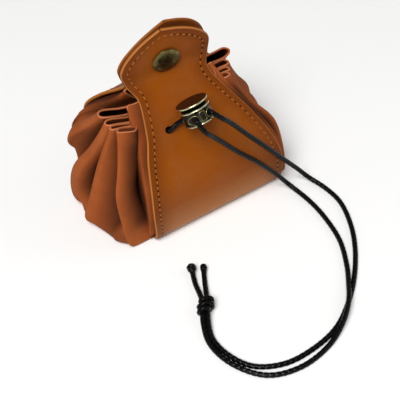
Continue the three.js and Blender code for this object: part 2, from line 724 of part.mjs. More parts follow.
// One strand: from the middle of the back inside the bag, through the strap and the lock, to the knot
function strandGeometry(holePlace, inside, inLock, route) {
  const hole = strapFrame(holeHeight, holePlace, false);
  const points = [
    ...inside.map((p) => settle(vector(p))),
    ...holeRoute.map((distance) => hole.origin.clone().addScaledVector(hole.outward, distance)),
    ...inLock.map((p) => atLock(p.across, p.out, p.up)),
    ...route.map(vector),
  ];
  return cordAlong(points, strandSteps);
}

// Knot that ties both strands: a core with two wraps of cord
function knotGeometry() {
  const core = new THREE.SphereGeometry(1, knotSides, knotRings);
  core.scale(knotCore.x, knotCore.y, knotCore.z);
  let solid = solidOf(core);
  for (const wrap of knotWraps) {
    const ring = new THREE.TorusGeometry(knotWrapRadius, cordRadius, wrapSides, wrapSteps);
    ring.rotateX(Math.PI / 2);
    ring.rotateZ(radians(wrap.tilt));
    ring.translate(0, wrap.along, 0);
    solid = solid.add(solidOf(ring));
  }
  const geometry = geometryOf(solid);
  geometry.rotateZ(radians(knotTurnDegrees));
  return geometry.translate(knotPlace.x, knotPlace.y, knotPlace.z);
}

// Free end of the cord behind the knot, with a small knot of its own
function tailGeometry(route, knotRadius) {
  const cord = solidOf(cordAlong(route.map(vector), tailSteps));
  const last = route[route.length - 1];
  const end = new THREE.SphereGeometry(knotRadius, tailKnotSides, knotRings);
  end.translate(last.x, last.y, knotRadius);
  return geometryOf(cord.add(solidOf(end)));
}

// Looks
const look = {
  strap: { color: 0x97501a, roughness: 0.5, metalness: 0 },
  side: { color: 0x9c5a30, roughness: 0.75, metalness: 0 },
  bronze: { color: 0x3c3319, roughness: 0.4, metalness: 0.9 },
  brass: { color: 0x8a7a46, roughness: 0.35, metalness: 0.9 },
  cord: { color: 0x131313, roughness: 0.6, metalness: 0 },
};

const group = new THREE.Group();
function addPiece(name, geometry, surface) {
  const bare = geometry.index ? geometry : mergeVertices(geometry);
  bare.computeVertexNormals();
  const mesh = new THREE.Mesh(bare, new THREE.MeshStandardMaterial(surface));
  mesh.name = name;
  group.add(mesh);
}

addPiece('strap', strapGeometry(), look.strap);
addPiece('gusset_left', sideGeometry('left'), look.side);
addPiece('gusset_right', sideGeometry('right'), look.side);
addPiece('snap_cap', snapGeometry(false), look.bronze);
addPiece('snap_back', snapGeometry(true), look.bronze);
addPiece('lock_barrel', barrelGeometry(), look.brass);
addPiece('lock_button', buttonGeometry(), look.bronze);
addPiece('cord_left', strandGeometry(leftHole, leftInside, leftLock, leftRoute), look.cord);
addPiece('cord_right', strandGeometry(rightHole, rightInside, rightLock, rightRoute), look.cord);
addPiece('cord_knot', knotGeometry(), look.cord);
addPiece('tail_left', tailGeometry(leftTailRoute, leftTailKnot), look.cord);
addPiece('tail_right', tailGeometry(rightTailRoute, rightTailKnot), look.cord);

export default group;
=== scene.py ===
# Dice bag: leather, stitches, metal and cord that dress the packed part.
# Tables are in millimetres in the bag's own frame: +Z up, front towards -Y, origin in the middle of
# the flat bottom. Meshes are handed over in metres.

from collections import namedtuple

import bpy
import numpy as np
from mathutils import Matrix


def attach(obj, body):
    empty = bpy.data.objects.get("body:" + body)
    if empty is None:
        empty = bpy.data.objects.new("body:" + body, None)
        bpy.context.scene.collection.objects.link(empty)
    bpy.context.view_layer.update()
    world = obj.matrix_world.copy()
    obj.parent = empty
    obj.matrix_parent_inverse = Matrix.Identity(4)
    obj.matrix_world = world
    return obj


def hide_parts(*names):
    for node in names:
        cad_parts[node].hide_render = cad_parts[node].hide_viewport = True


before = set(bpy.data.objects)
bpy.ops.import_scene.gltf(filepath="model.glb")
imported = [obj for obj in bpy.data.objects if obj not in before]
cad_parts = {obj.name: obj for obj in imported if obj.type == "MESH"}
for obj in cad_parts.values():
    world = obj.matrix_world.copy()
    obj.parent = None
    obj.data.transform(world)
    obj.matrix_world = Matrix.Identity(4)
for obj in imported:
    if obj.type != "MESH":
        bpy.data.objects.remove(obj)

bl_info = {
    "name": "Dice bag",
    "version": (1, 0, 0),
    "blender": (4, 5, 0),
    "location": "View3D > Sidebar > Dice bag",
    "description": "Builds the leather, stitches, snap, cord lock and drawcord of a small dice bag",
    "category": "Object",
}

# One millimetre in metres, the tiny radius that closes a turned profile on its axis, the least length to
# divide by, and the bodies

MM = 0.001
AXIS = 0.001
TINY = 1e-9
BAG = "bag"
BUTTON = "button"

# Strap: its outer line from the middle of the bottom up to the tips of both tabs, with the distance
# from the middle plane, the height and half the width at each section

Section = namedtuple("Section", "name front back height back_height half_width back_half_width")

STRAP_SECTIONS = [
    Section("bottom middle", 0.0, 0.0, 0.0, 0.0, 33.6, 33.6),
    Section("bottom", 17.0, 17.0, 0.0, 0.0, 33.6, 33.6),
    Section("bend", 22.4, 22.6, 1.0, 1.0, 33.6, 33.6),
    Section("foot of panel", 25.0, 26.0, 4.6, 4.6, 33.7, 33.7),
    Section("low panel", 26.2, 29.5, 19.8, 19.8, 33.7, 33.7),
    Section("middle of panel", 23.9, 30.6, 31.7, 33.5, 31.3, 32.8),
    Section("high panel", 18.7, 28.5, 43.4, 46.5, 27.0, 31.0),
    Section("shoulder", 12.3, 21.3, 54.9, 56.6, 20.8, 24.4),
    Section("neck", 5.2, 8.0, 66.4, 66.4, 16.7, 17.2),
    Section("tab root", 3.2, 3.2, 72.4, 72.0, 18.9, 18.9),
    Section("tab widest", 4.2, 1.9, 80.0, 79.4, 20.0, 20.0),
    Section("tab shoulder", 4.7, 1.5, 83.8, 83.3, 18.2, 18.2),
    Section("low arch", 5.1, 1.1, 87.0, 86.5, 15.2, 15.2),
    Section("arch", 5.5, 0.7, 90.0, 89.6, 11.2, 11.2),
    Section("high arch", 5.9, 0.3, 92.6, 92.2, 6.4, 6.4),
    Section("tip", 6.2, 0.0, 94.8, 94.4, 0.8, 0.8),
]
STRAP_STEPS_PER_SECTION = 14
STRAP_COLUMNS = 44
EDGE_STEPS = 5
EDGE_ROUND = 0.5
EDGE_DARK_WIDTH = 11.0
WAVE_HEIGHT = 0.22
WAVE_START = 30.0
WAVE_ALONG = 0.11
WAVE_SLANT = 0.05
WAVE_ACROSS = 0.09
WAVE_PHASE = 1.3
FRAME_STEP = 0.5
SEAM_OVERLAP = 4.0
SEAM_GAP = 0.6
HOLE_HEIGHT = 52.5
LEFT_HOLE = -11.0
RIGHT_HOLE = 4.0
HOLE_RADIUS = 1.6
SNAP_HEIGHT = 78.3
SNAP_HOLE_RADIUS = 1.9
DRILL_FROM = -3.0
DRILL_TO = 2.0
DRILL_SIDES = 32

# Stitches: half sizes of a stitch and of an awl hole; under the bottom they are sunk into the leather

STITCH_SIZE = (0.85, 0.27, 0.24)
AWL_HOLE_SIZE = (0.46, 0.4, 0.09)
STITCH_SLANT = 0.16
STITCH_LIFT = 0.06
STITCH_SUNK = -0.3
STITCH_GROUND = 0.4
STITCH_SLACK = 0.03
STITCH_AHEAD = 0.3
POD_RINGS = 6
POD_SIDES = 8
POD_END = 0.06
POD_BLUNT = 0.6

# Lean and turn of the soft bag

LEAN_DEGREES = -7.7
LEAN_SHARE = 0.75
BODY_TWIST_DEGREES = 1.9
FRONT_TAB_TWIST_DEGREES = -10.0
BACK_TAB_TWIST_DEGREES = -6.0
BODY_HEIGHT = 55.0
TAB_START = 50.0
TAB_BLEND = 30.0
MOUTH_BLEND = 8.0
TILT_REACH = 18.0
TILT_FADE = 14.0
BACK_TAB_SLANT = 3.6
SLANT_RISE = 15.0

# Side walls: a pleat stands out and has a round ridge, a groove lies between two pleats. A fold starts at
# a place along the strap, front negative, bulges out by its belly and ends at the top of its side. Face
# sets the front of a pleat back, and tuck draws a groove towards the back.

Fold = namedtuple(
    "Fold", "name shape along foot_width left_belly right_belly face tuck width left_top right_top")

SIDE_FOLDS = [
    Fold("groove by strip", "groove", -21.8, 0.4, 0.5, 0.5, 0.0, 7.0, 1.0,
         (21.6, -7.0, 56.5), (18.4, -8.0, 56.0)),
    Fold("front pleat", "upright pleat", -20.8, 0.8, 10.5, 3.4, 11.0, 0.0, 3.2,
         (30.4, -9.8, 58.0), (25.0, -6.4, 57.0)),
    Fold("groove", "groove", -13.0, 1.6, 15.0, 4.0, 0.0, 1.0, 1.0,
         (20.5, -7.2, 57.0), (18.5, -5.2, 55.8)),
    Fold("small pleat", "sunk pleat", 3.0, 3.0, 19.0, 9.0, 0.0, 0.0, 2.2,
         (32.2, -6.0, 58.0), (27.4, -2.8, 57.6)),
    Fold("groove", "groove", 8.0, 1.6, 18.4, 7.0, 0.0, 1.0, 1.0,
         (19.5, -4.4, 57.0), (19.0, -2.2, 56.2)),
    Fold("middle pleat", "upright pleat", 18.0, 7.0, 17.2, 8.0, 0.0, 0.0, 3.4,
         (32.2, -2.2, 58.0), (29.2, 1.4, 58.4)),
    Fold("groove", "groove", 28.0, 2.0, 11.0, 4.0, 0.0, 0.0, 1.2,
         (19.0, 0.6, 57.0), (19.6, 2.2, 56.6)),
    Fold("back pleat", "back pleat", 45.0, 8.0, 9.0, 4.6, 0.0, 0.0, 4.8,
         (31.4, 4.4, 58.0), (33.6, 7.8, 58.8)),
    Fold("slack", "slack", 55.0, 3.0, 6.0, 3.2, 0.0, 0.0, 1.0,
         (13.0, 4.6, 58.0), (16.6, 7.2, 57.4)),
]

# Shares at six places up a fold (under, low, belly, over the belly, middle, high): of its belly, of the
# way out to its top, of its height, of the way from the strap's edge back to its top, and of its tuck

FoldShape = namedtuple("FoldShape", "out to_top rise back tuck")
NO_TUCK = (0.0, 0.0, 0.0, 0.0, 0.0, 0.0)

FOLD_SHAPES = {
    "upright pleat": FoldShape(
        out=(0.35, 0.84, 0.98, 0.99, 0.84, 1.0),
        to_top=(0.0, 0.0, 0.0, 0.0, 0.0, 0.54),
        rise=(-0.03, -0.02, 0.07, 0.25, 0.5, 0.72),
        back=(0.0, 0.0, 0.03, 0.12, 0.37, 0.68),
        tuck=NO_TUCK,
    ),
    "sunk pleat": FoldShape(
        out=(0.35, 0.86, 1.0, 0.8, 0.5, 0.38),
        to_top=(0.0, 0.0, 0.0, 0.0, 0.0, 0.38),
        rise=(-0.03, -0.02, 0.06, 0.25, 0.5, 0.72),
        back=(0.0, 0.0, 0.02, 0.08, 0.2, 0.38),
        tuck=NO_TUCK,
    ),
    "back pleat": FoldShape(
        out=(0.3, 0.7, 0.95, 1.0, 1.0, 1.0),
        to_top=(0.0, 0.0, 0.0, 0.14, 0.44, 0.76),
        rise=(0.02, 0.12, 0.27, 0.42, 0.58, 0.8),
        back=(0.0, 0.0, 0.04, 0.14, 0.36, 0.7),
        tuck=NO_TUCK,
    ),
    "slack": FoldShape(
        out=(0.3, 0.75, 1.0, 1.0, 1.0, 1.0),
        to_top=(0.0, 0.0, 0.0, 0.08, 0.18, 0.5),
        rise=(0.02, 0.1, 0.25, 0.4, 0.55, 0.8),
        back=(0.0, 0.0, 0.03, 0.08, 0.17, 0.56),
        tuck=NO_TUCK,
    ),
    "groove": FoldShape(
        out=(0.35, 0.88, 0.94, 0.36, 0.08, 0.2),
        to_top=(0.0, 0.0, 0.0, 0.0, 0.3, 0.8),
        rise=(-0.03, -0.02, 0.07, 0.22, 0.48, 0.72),
        back=(0.0, 0.0, 0.03, 0.16, 0.42, 0.7),
        tuck=(0.0, 0.0, 0.0, 0.3, 1.0, 0.6),
    ),
}

# Swell of a pleat's ridge as a share of its width, and the share of its face's set-back at the top

PLEAT_ROUND = 0.35
FACE_AT_TOP = 0.5

# Strip of side leather beside the strap's front edge, and the seams at both edges

StripMark = namedtuple("StripMark", "along left_width right_width")

FRONT_STRIP = [
    StripMark(-27.0, 1.0, 1.2), StripMark(-40.0, 1.1, 1.4), StripMark(-54.0, 1.4, 1.6),
    StripMark(-68.0, 2.2, 2.0), StripMark(-80.0, 3.9, 2.4), StripMark(-93.0, 4.8, 2.6),
]
FRONT_SEAM_FEET = (-24.0, -23.2, -22.4)
BACK_SEAM = (62.0, 70.0, 78.0, 87.0, 96.0, 104.0)
BACK_SEAM_FEET = (57.0, 58.4)
STRIP_EDGE = 0.9
SIDE_STEPS_PER_LINE = 7
SIDE_ROWS = 66

# Painted shade in the hollows of the side walls: reach and places in steps across the folds, counted
# from the front seam, and the depth and heights of the marks

HOLLOW_REACH = 14
HOLLOW_DEPTH = 9.0
VALLEY_START = 11
VALLEY_END = 42
FACE_END = 52
VALLEY_STEPS = 7
VALLEY_FOOT = 6.0
VALLEY_TOP = 60.0
VALLEY_RISE = 10.0

# Snap: rows of radius and height over the leather

SNAP_CAP_ROWS = [(5.8, 0.35), (6.15, 0.45), (6.2, 0.6), (5.95, 0.8), (4.8, 1.1), (2.65, 1.32), (0.0, 1.38)]
SNAP_CAP_STEPS = 40
SNAP_BACK_ROWS = [(4.6, 0.3), (4.6, 1.2), (4.0, 1.6), (0.0, 1.6)]
SNAP_POST_RADIUS = 1.6
SNAP_DISC_RADIUS = 3.6
SNAP_DISC_THICKNESS = 0.55
SNAP_DISC_GAP = 0.3

# Cord lock: heights are along its axis from the foot of the barrel

LOCK_HEIGHT = 51.6
LOCK_SHIFT = 0.2
LOCK_STAND_OFF = 9.0
LOCK_SIDES = 96
BARREL_HEIGHT = 6.9
BARREL_RADIUS = 6.3
BARREL_RIM = 6.9
OPENING_SPREAD = 3.8
OPENING_HALF_WIDTH = 2.0
OPENING_HALF_HEIGHT = 1.9
OPENING_HEIGHT = 2.9
OPENING_REACH = 12.0
WINDOW_HALF_WIDTH = 1.25
WINDOW_HALF_HEIGHT = 2.0
WINDOW_HEIGHT = 3.35
WINDOW_ROUND = 0.4
TRIM_RADIUS = 0.22
TRIM_SIDES = 10
TRIM_STEPS = 48
RECESS_RADIUS = 5.5
RECESS_FLOOR = 5.2
BORE_RADIUS = 1.1
BORE_FLOOR = 0.4
CAP_RADIUS = 7.2
CAP_UNDER = 8.6
CAP_TOP = 9.4
NECK_RADIUS = 5.2
NECK_FOOT = 6.8
STEM_RADIUS = 0.8
STEM_FOOT = 2.4

# Outlines of the barrel and the button from axis to axis: rows of radius and height, in runs of one finish

BARREL_RUNS = [
    ("black", [(AXIS, 0.0)]),
    ("brass", [(BARREL_RADIUS, 0.0), (6.6, 0.1), (6.7, 0.3), (6.6, 0.5)]),
    ("black", [(BARREL_RADIUS, 0.65)]),
    ("brass", [(BARREL_RADIUS, 6.1), (6.75, 6.25), (BARREL_RIM, 6.5), (6.8, 6.75), (6.6, BARREL_HEIGHT)]),
    ("black", [(RECESS_RADIUS, BARREL_HEIGHT), (RECESS_RADIUS, RECESS_FLOOR)]),
    ("black", [(BORE_RADIUS, RECESS_FLOOR), (BORE_RADIUS, BORE_FLOOR), (AXIS, BORE_FLOOR)]),
]
BUTTON_RUNS = [
    ("black", [(AXIS, STEM_FOOT), (STEM_RADIUS, STEM_FOOT), (STEM_RADIUS, NECK_FOOT)]),
    ("black", [(NECK_RADIUS, NECK_FOOT), (NECK_RADIUS, CAP_UNDER)]),
    ("brass", [(6.9, CAP_UNDER), (7.1, CAP_UNDER + 0.1), (CAP_RADIUS, CAP_UNDER + 0.28)]),
    ("brass", [(CAP_RADIUS, CAP_TOP - 0.28), (7.1, CAP_TOP - 0.08)]),
    ("brown", [(6.95, CAP_TOP), (6.6, CAP_TOP - 0.03), (4.0, CAP_TOP + 0.02), (AXIS, CAP_TOP + 0.06)]),
]

# Drawcord: inside the bag, out through the strap, through the lock (across, out and up from its foot),
# over the front, along the ground and through the knot to its free end

LEFT_INSIDE = [(-1.25, 12.6, 54.0), (-7.0, 11.4, 54.0), (-12.0, 4.0, 54.0), (-12.2, -4.0, 53.4)]
RIGHT_INSIDE = [(1.25, 12.6, 54.0), (5.6, 10.6, 54.0), (7.2, 4.0, 54.0), (5.4, -4.0, 53.4)]
HOLE_ROUTE = (-2.6, 0.6)
LEFT_LOCK = [(-6.9, -6.4, 2.4), (-3.8, -3.4, 2.9), (-3.8, 3.6, 2.9), (-3.8, 6.8, 2.8)]
RIGHT_LOCK = [(3.8, -6.4, 2.6), (3.8, -3.0, 2.9), (3.8, 3.6, 2.9), (3.8, 6.8, 2.8)]
LEFT_ROUTE = [
    (-7.6, -29.8, 57.4), (-3.2, -29.0, 51.4), (2.6, -28.3, 43.6), (8.9, -28.2, 35.4),
    (17.6, -29.1, 25.4), (27.5, -29.2, 12.0), (33.4, -31.4, 3.4), (36.0, -42.7, 1.2),
    (35.7, -54.6, 1.1), (32.7, -70.0, 1.1), (26.8, -82.4, 1.2), (20.2, -92.2, 2.4),
    (14.0, -100.0, 3.9), (6.6, -106.2, 3.0), (-4.4, -111.4, 1.1), (-20.0, -113.4, 1.1),
    (-33.0, -109.0, 1.1), (-41.4, -97.0, 1.1), (-43.6, -84.0, 1.2), (-40.7, -74.4, 2.3),
]
RIGHT_ROUTE = [
    (1.4, -28.6, 59.2), (5.9, -28.2, 53.9), (14.4, -28.2, 42.2), (23.1, -28.9, 30.8),
    (32.8, -29.3, 17.6), (39.4, -30.0, 8.8), (43.6, -32.6, 3.2), (46.8, -41.0, 1.2),
    (47.0, -52.0, 1.1), (42.4, -65.5, 1.1), (35.3, -77.6, 1.1), (24.6, -90.4, 1.1),
    (14.0, -99.6, 1.1), (2.6, -106.4, 1.1), (-10.0, -109.2, 1.1), (-24.0, -108.6, 1.1),
    (-35.0, -102.6, 1.1), (-40.2, -92.9, 1.1), (-41.3, -82.6, 1.2), (-38.8, -75.3, 2.3),
]
KNOT_PLACE = (-35.7, -68.0, 3.1)
KNOT_AXIS = (0.5, 0.866, 0.0)
KNOT_SIDE = (0.866, -0.5, 0.0)
KNOT_CORE_SPREAD = 1.05
KNOT_WRAP_WIDTH = 2.75
KNOT_WRAP_HEIGHT = 2.1
KNOT_LENGTH = 6.4
KNOT_TURNS = 2.6
KNOT_TILT = 1.1
KNOT_SHIFT = 0.25
KNOT_TUCK = 0.45
KNOT_TUCK_SHARE = 0.12
KNOT_STEPS = 400
LEFT_TAIL = [(-34.4, -62.6, 2.2), (-32.0, -53.9, 1.1), (-28.6, -45.0, 2.4)]
RIGHT_TAIL = [(-32.0, -63.2, 2.2), (-28.1, -55.4, 1.1), (-23.8, -47.6, 1.6)]
LEFT_END_KNOT = 2.1
RIGHT_END_KNOT = 1.55
END_KNOT_LENGTH = 4.6
END_KNOT_TAPER = 2.6
END_KNOT_WRAP = 1.5
END_KNOT_WRAP_DEPTH = 0.12
CURVE_STEPS = 6000
CORD_STEP = 0.28
CORD_SIDES = 16
BRAID_STRANDS = 4
BRAID_DEPTH = 0.14
FIRST_ASIDE = (0.3, 0.2, 0.9)
ROUND_END = 0.0004

# Stage: floor and lights in metres, and the camera in degrees and millimetres, from the photo's view

FLOOR_REACH = 3.0
MAIN_LIGHT_PLACE = (-0.7, -0.6, 1.4)
MAIN_LIGHT_SIZE = 0.95
FILL_LIGHT_PLACE = (0.7, -0.35, 0.45)
FILL_LIGHT_SIZE = 0.6
LIGHT_AIM = (0.0, -0.02, 0.03)
CAMERA_AZIMUTH = -28.0
CAMERA_ELEVATION = 46.4
CAMERA_ROLL = 5.6
CAMERA_DISTANCE = 416.0
CAMERA_AIM_HEIGHT = 35.0
CAMERA_RIGHT = 5.9
CAMERA_UP = -33.3
CAMERA_LENS = 83.87
CAMERA_SENSOR = 36.0
CAMERA_NEAR = 10.0


def ease(t):
    """Smooth step: 3t² - 2t³ with t held between 0 and 1."""
    t = np.clip(t, 0.0, 1.0)
    return t * t * (3.0 - 2.0 * t)


def mix(a, b, t):
    """Straight blend from a at t = 0 to b at t = 1."""
    return a + (b - a) * t


def unit(v):
    """Each vector divided by its own length."""
    return v / np.maximum(np.linalg.norm(v, axis=-1, keepdims=True), TINY)


def around(count):
    """Even angles once around: a full turn times each whole number below count, over count."""
    return 2 * np.pi * np.arange(count) / count


def run_along(points):
    """Distance along a line from its first point to each of its points."""
    return np.concatenate([[0.0], np.cumsum(np.linalg.norm(np.diff(points, axis=0), axis=1))])


def curve_through(points, shares):
    """Smooth line through points on the first axis, read at shares of its spans.

    In each span a cubic joins two points; its end slopes come from the neighbours, weighted by the
    square roots of the distances between them, so the line neither loops nor overshoots.
    """
    points = np.asarray(points, float)
    padded = np.concatenate([2 * points[:1] - points[1:2], points, 2 * points[-1:] - points[-2:-1]])
    spans = len(points) - 1
    position = np.clip(np.asarray(shares, float) * spans, 0, spans)
    span = np.minimum(position.astype(int), spans - 1)
    t = (position - span).reshape((-1,) + (1,) * (points.ndim - 1))
    p0, p1, p2, p3 = (padded[span + k] for k in range(4))
    d0, d1, d2 = (
        np.sqrt(np.maximum(np.linalg.norm(b - a, axis=-1, keepdims=True), TINY))
        for a, b in ((p0, p1), (p1, p2), (p2, p3))
    )
    slope_in = d1 * ((p1 - p0) / d0 - (p2 - p0) / (d0 + d1) + (p2 - p1) / d1)
    slope_out = d1 * ((p2 - p1) / d1 - (p3 - p1) / (d1 + d2) + (p3 - p2) / d2)
    bend = 3 * (p2 - p1) - 2 * slope_in - slope_out
    turn = 2 * (p1 - p2) + slope_in + slope_out
    return p1 + slope_in * t + bend * t**2 + turn * t**3


def resample(points, step):
    """The same line with points an equal distance apart, near step."""
    run = run_along(points)
    even = np.linspace(0.0, run[-1], max(int(run[-1] / step), 2) + 1)
    return np.stack([np.interp(even, run, points[:, k]) for k in range(3)], axis=1)


def line_length(points):
    """Length of the whole line."""
    return float(run_along(points)[-1])


def settle(p):
    """Upright point to its place in the leaning bag.

    Height eases in a lean to the left with a matching tilt near the middle, a small turn of the body,
    and a turn of each tab about the upright axis.
    """
    p = np.asarray(p, float)
    x, y, z = p[..., 0], p[..., 1], p[..., 2]
    body = ease(z / BODY_HEIGHT)
    tab = ease((z - TAB_START) / TAB_BLEND)
    behind = ease((y + MOUTH_BLEND) / (2 * MOUTH_BLEND))
    tab_twist = mix(FRONT_TAB_TWIST_DEGREES, BACK_TAB_TWIST_DEGREES, behind)
    twist = np.radians(BODY_TWIST_DEGREES * body + tab_twist * tab)
    lean = np.radians(LEAN_DEGREES * body)
    shift = np.tan(np.radians(LEAN_DEGREES)) * z * LEAN_SHARE * body
    lever = x * (1 - ease((np.abs(x) - TILT_REACH) / TILT_FADE))
    return np.stack([
        x * np.cos(twist) * np.cos(lean) - y * np.sin(twist) + shift,
        x * np.sin(twist) + y * np.cos(twist),
        z - lever * np.sin(lean),
    ], axis=-1)


def strap_stations():
    """Half width, place, inward direction and run of the strap's outer line, front tip to back tip.

    The line is a smooth curve through the sections; inward is its direction turned by a quarter.
    """
    front = [(s.half_width, -s.front, s.height) for s in STRAP_SECTIONS]
    back = [(s.back_half_width, s.back, s.back_height) for s in STRAP_SECTIONS]
    controls = np.array(front[::-1] + back[1:])
    count = (len(controls) - 1) * STRAP_STEPS_PER_SECTION + 1
    line = curve_through(controls, np.linspace(0.0, 1.0, count))
    line[:, 2] = np.maximum(line[:, 2], 0.0)
    flat = line[:, 1:]
    run = run_along(flat)
    along = unit(np.gradient(flat, axis=0))
    return {
        "half_width": line[:, 0],
        "y": line[:, 1],
        "z": line[:, 2],
        "along": run - run[count // 2],
        "in_y": -along[:, 1],
        "in_z": along[:, 0],
    }


STATIONS = strap_stations()


def strap_value(key, along):
    """One column of the stations at a distance along the strap, front negative."""
    return np.interp(along, STATIONS["along"], STATIONS[key])


def along_at_height(height, is_back):
    """Distance along the strap at which its front or back reaches a height."""
    half = STATIONS["along"] > 0 if is_back else STATIONS["along"] < 0
    rising = np.argsort(STATIONS["z"][half])
    return np.interp(height, STATIONS["z"][half][rising], STATIONS["along"][half][rising])


def beside_strap(along, out, inward):
    """Upright point at a distance along the strap, out from the middle and in from its outer face.

    Above the snap the back tab slants to the right.
    """
    along, out, inward = np.broadcast_arrays(*(np.asarray(v, float) for v in (along, out, inward)))
    height = strap_value("z", along)
    slant = np.where(along > 0, BACK_TAB_SLANT * ease((height - SNAP_HEIGHT) / SLANT_RISE), 0.0)
    y = strap_value("y", along) + inward * strap_value("in_y", along)
    z = height + inward * strap_value("in_z", along)
    return np.stack([out + slant, y, z], axis=-1)


def strap_frame(height, x, is_back):
    """Place on the settled strap with axes across, along it in its face and out of its face.

    Across and along are the ways to points a small step aside and above, and out is their cross product.
    """
    along = along_at_height(height, is_back)
    above = along_at_height(height + FRAME_STEP, is_back)
    origin = settle(beside_strap(along, x, 0.0))
    across = unit(settle(beside_strap(along, x + FRAME_STEP, 0.0)) - origin)
    up = settle(beside_strap(above, x, 0.0)) - origin
    up = unit(up - across * np.dot(up, across))
    facing = -1.0 if is_back else 1.0
    return origin, np.array([across, facing * up, facing * np.cross(across, up)])


def strap_across():
    """Distance of each point of the strap's grid from its middle line: even shares of half its width."""
    return np.linspace(-1.0, 1.0, STRAP_COLUMNS)[None, :] * (STATIONS["half_width"][:, None] - EDGE_ROUND)


def edge_dark_of_loops(loops):
    """How much darker the strap is near its edge: eased from 1 at its edge down to 0 a set width inside
    it.
    """
    inside_edge = STATIONS["half_width"][:, None] - np.abs(strap_across())
    rubbed = ease(1.0 - inside_edge / EDGE_DARK_WIDTH)
    edge_dark = np.ones(loops.shape[:2])
    edge_dark[:, :STRAP_COLUMNS] = rubbed
    return edge_dark


def strap_middle(thickness):
    """Middle of the strap's leather: rows along it and columns across its width.

    Slow waves, the product of two sines, start where the strap leaves the bottom.
    """
    along = STATIONS["along"][:, None]
    x = strap_across()
    off_bottom = np.clip(np.abs(along) / WAVE_START - 1, 0, 1)
    lengthwise = np.sin(WAVE_ALONG * along + WAVE_SLANT * x)
    crosswise = np.sin(WAVE_ACROSS * x + WAVE_PHASE)
    wave = WAVE_HEIGHT * lengthwise * crosswise * off_bottom
    return settle(beside_strap(along + 0 * x, x, thickness / 2 + wave))


def fold_line(fold, half, side, inside):
    """One line of a fold: out under the strap, round the belly and up to the gathered edge.

    Each point between them is the strap's rim plus a share of the bulge, blended by another share
    towards the fold's top. Half is the place across the fold, from -0.5 in front to 0.5 behind.
    """
    is_pleat = "pleat" in fold.name
    start = fold.along + half * fold.foot_width
    width = strap_value("half_width", start)
    seam = beside_strap(start, width - SEAM_OVERLAP, inside)
    rim = beside_strap(start, width + STRIP_EDGE, inside)
    swell = PLEAT_ROUND * fold.width * (1 - 2 * abs(half)) if is_pleat else 0.0
    belly, tops = (fold.left_belly, fold.left_top) if side < 0 else (fold.right_belly, fold.right_top)
    inset = fold.face * belly / fold.left_belly * max(-2 * half, 0.0)
    top = np.array(tops) + np.array([swell - inset * FACE_AT_TOP, half * fold.width, 0.0])
    out, to_top, rise, back, tuck = np.array(FOLD_SHAPES[fold.shape])
    bulge = belly + swell - inset * mix(1.0, FACE_AT_TOP, rise)
    between = np.stack([
        mix(rim[0] + bulge * out, top[0], to_top),
        mix(rim[1], top[1], back) + fold.tuck * tuck,
        mix(rim[2], top[2], rise),
    ], axis=1)
    return np.vstack([seam, rim, between, top])


def seam_line(foot, along, out, inside):
    """Line that runs up beside the strap's edge from its foot, out by so much beyond the edge."""
    along = np.asarray(along)
    start = beside_strap(foot, strap_value("half_width", foot) - SEAM_OVERLAP, inside)
    return np.vstack([start, beside_strap(along, strap_value("half_width", along) + out, inside)])


def side_lines(side, inside):
    """All lines of a side wall, front to back: the strip by the front, the folds and the back seam."""
    front = [mark.along for mark in FRONT_STRIP]
    strip = np.array([mark.left_width if side < 0 else mark.right_width for mark in FRONT_STRIP])
    strip_outs = (-SEAM_OVERLAP, STRIP_EDGE, strip)
    lines = [seam_line(foot, front, out, inside) for foot, out in zip(FRONT_SEAM_FEET, strip_outs)]
    for fold in SIDE_FOLDS:
        halves = (-0.5, 0.0, 0.5) if "pleat" in fold.name else (-0.5, 0.5)
        lines.extend(fold_line(fold, half, side, inside) for half in halves)
    back_outs = (STRIP_EDGE, -SEAM_OVERLAP)
    lines.extend(seam_line(foot, BACK_SEAM, out, inside) for foot, out in zip(BACK_SEAM_FEET, back_outs))
    return lines


def side_middle(side, thickness, strap_thickness):
    """Middle of a side wall: first axis across the folds from front to back, second from foot to top.

    Each line is a smooth curve; at every share of the way up, another smooth curve joins the lines.
    """
    lines = side_lines(side, strap_thickness + SEAM_GAP + thickness / 2)
    up = np.linspace(0.0, 1.0, SIDE_ROWS)
    rows = np.stack([curve_through(line, up) for line in lines])
    across = np.linspace(0.0, 1.0, (len(lines) - 1) * SIDE_STEPS_PER_LINE + 1)
    grid = curve_through(rows, across)
    grid[..., 0] *= side
    grid[..., 2] = np.maximum(grid[..., 2], thickness / 2)
    return settle(grid)


def painted_hollow_shade(middle):
    """How deep each point of a side wall lies between two pleats, from 0 to 1, as the share of painted
    shade there.

    Its distance from the bag's middle plane is taken from the largest one among HOLLOW_REACH
    neighbours on either side across the folds. The mark is 1 where that is HOLLOW_DEPTH or more.
    The valley behind the strip at the front gets painted shade too, between its foot and its top. Below
    its foot the face of the front pleat has no painted shade.
    """
    out = np.pad(np.abs(middle[..., 0]), ((HOLLOW_REACH, HOLLOW_REACH), (0, 0)), mode="edge")
    furthest = np.lib.stride_tricks.sliding_window_view(out, 2 * HOLLOW_REACH + 1, axis=0).max(axis=-1)
    between = ease((furthest - np.abs(middle[..., 0])) / HOLLOW_DEPTH)
    step = np.arange(middle.shape[0])[:, None]
    over_foot = ease((middle[..., 2] - VALLEY_FOOT) / VALLEY_RISE)
    below_top = ease((VALLEY_TOP - middle[..., 2]) / VALLEY_RISE)
    valley = ease((step - VALLEY_START) / VALLEY_STEPS) * ease((VALLEY_END - step) / VALLEY_STEPS)
    front = ease((FACE_END - step) / VALLEY_STEPS)
    return np.maximum(between * (1 - front * (1 - over_foot)), valley * over_foot * below_top)


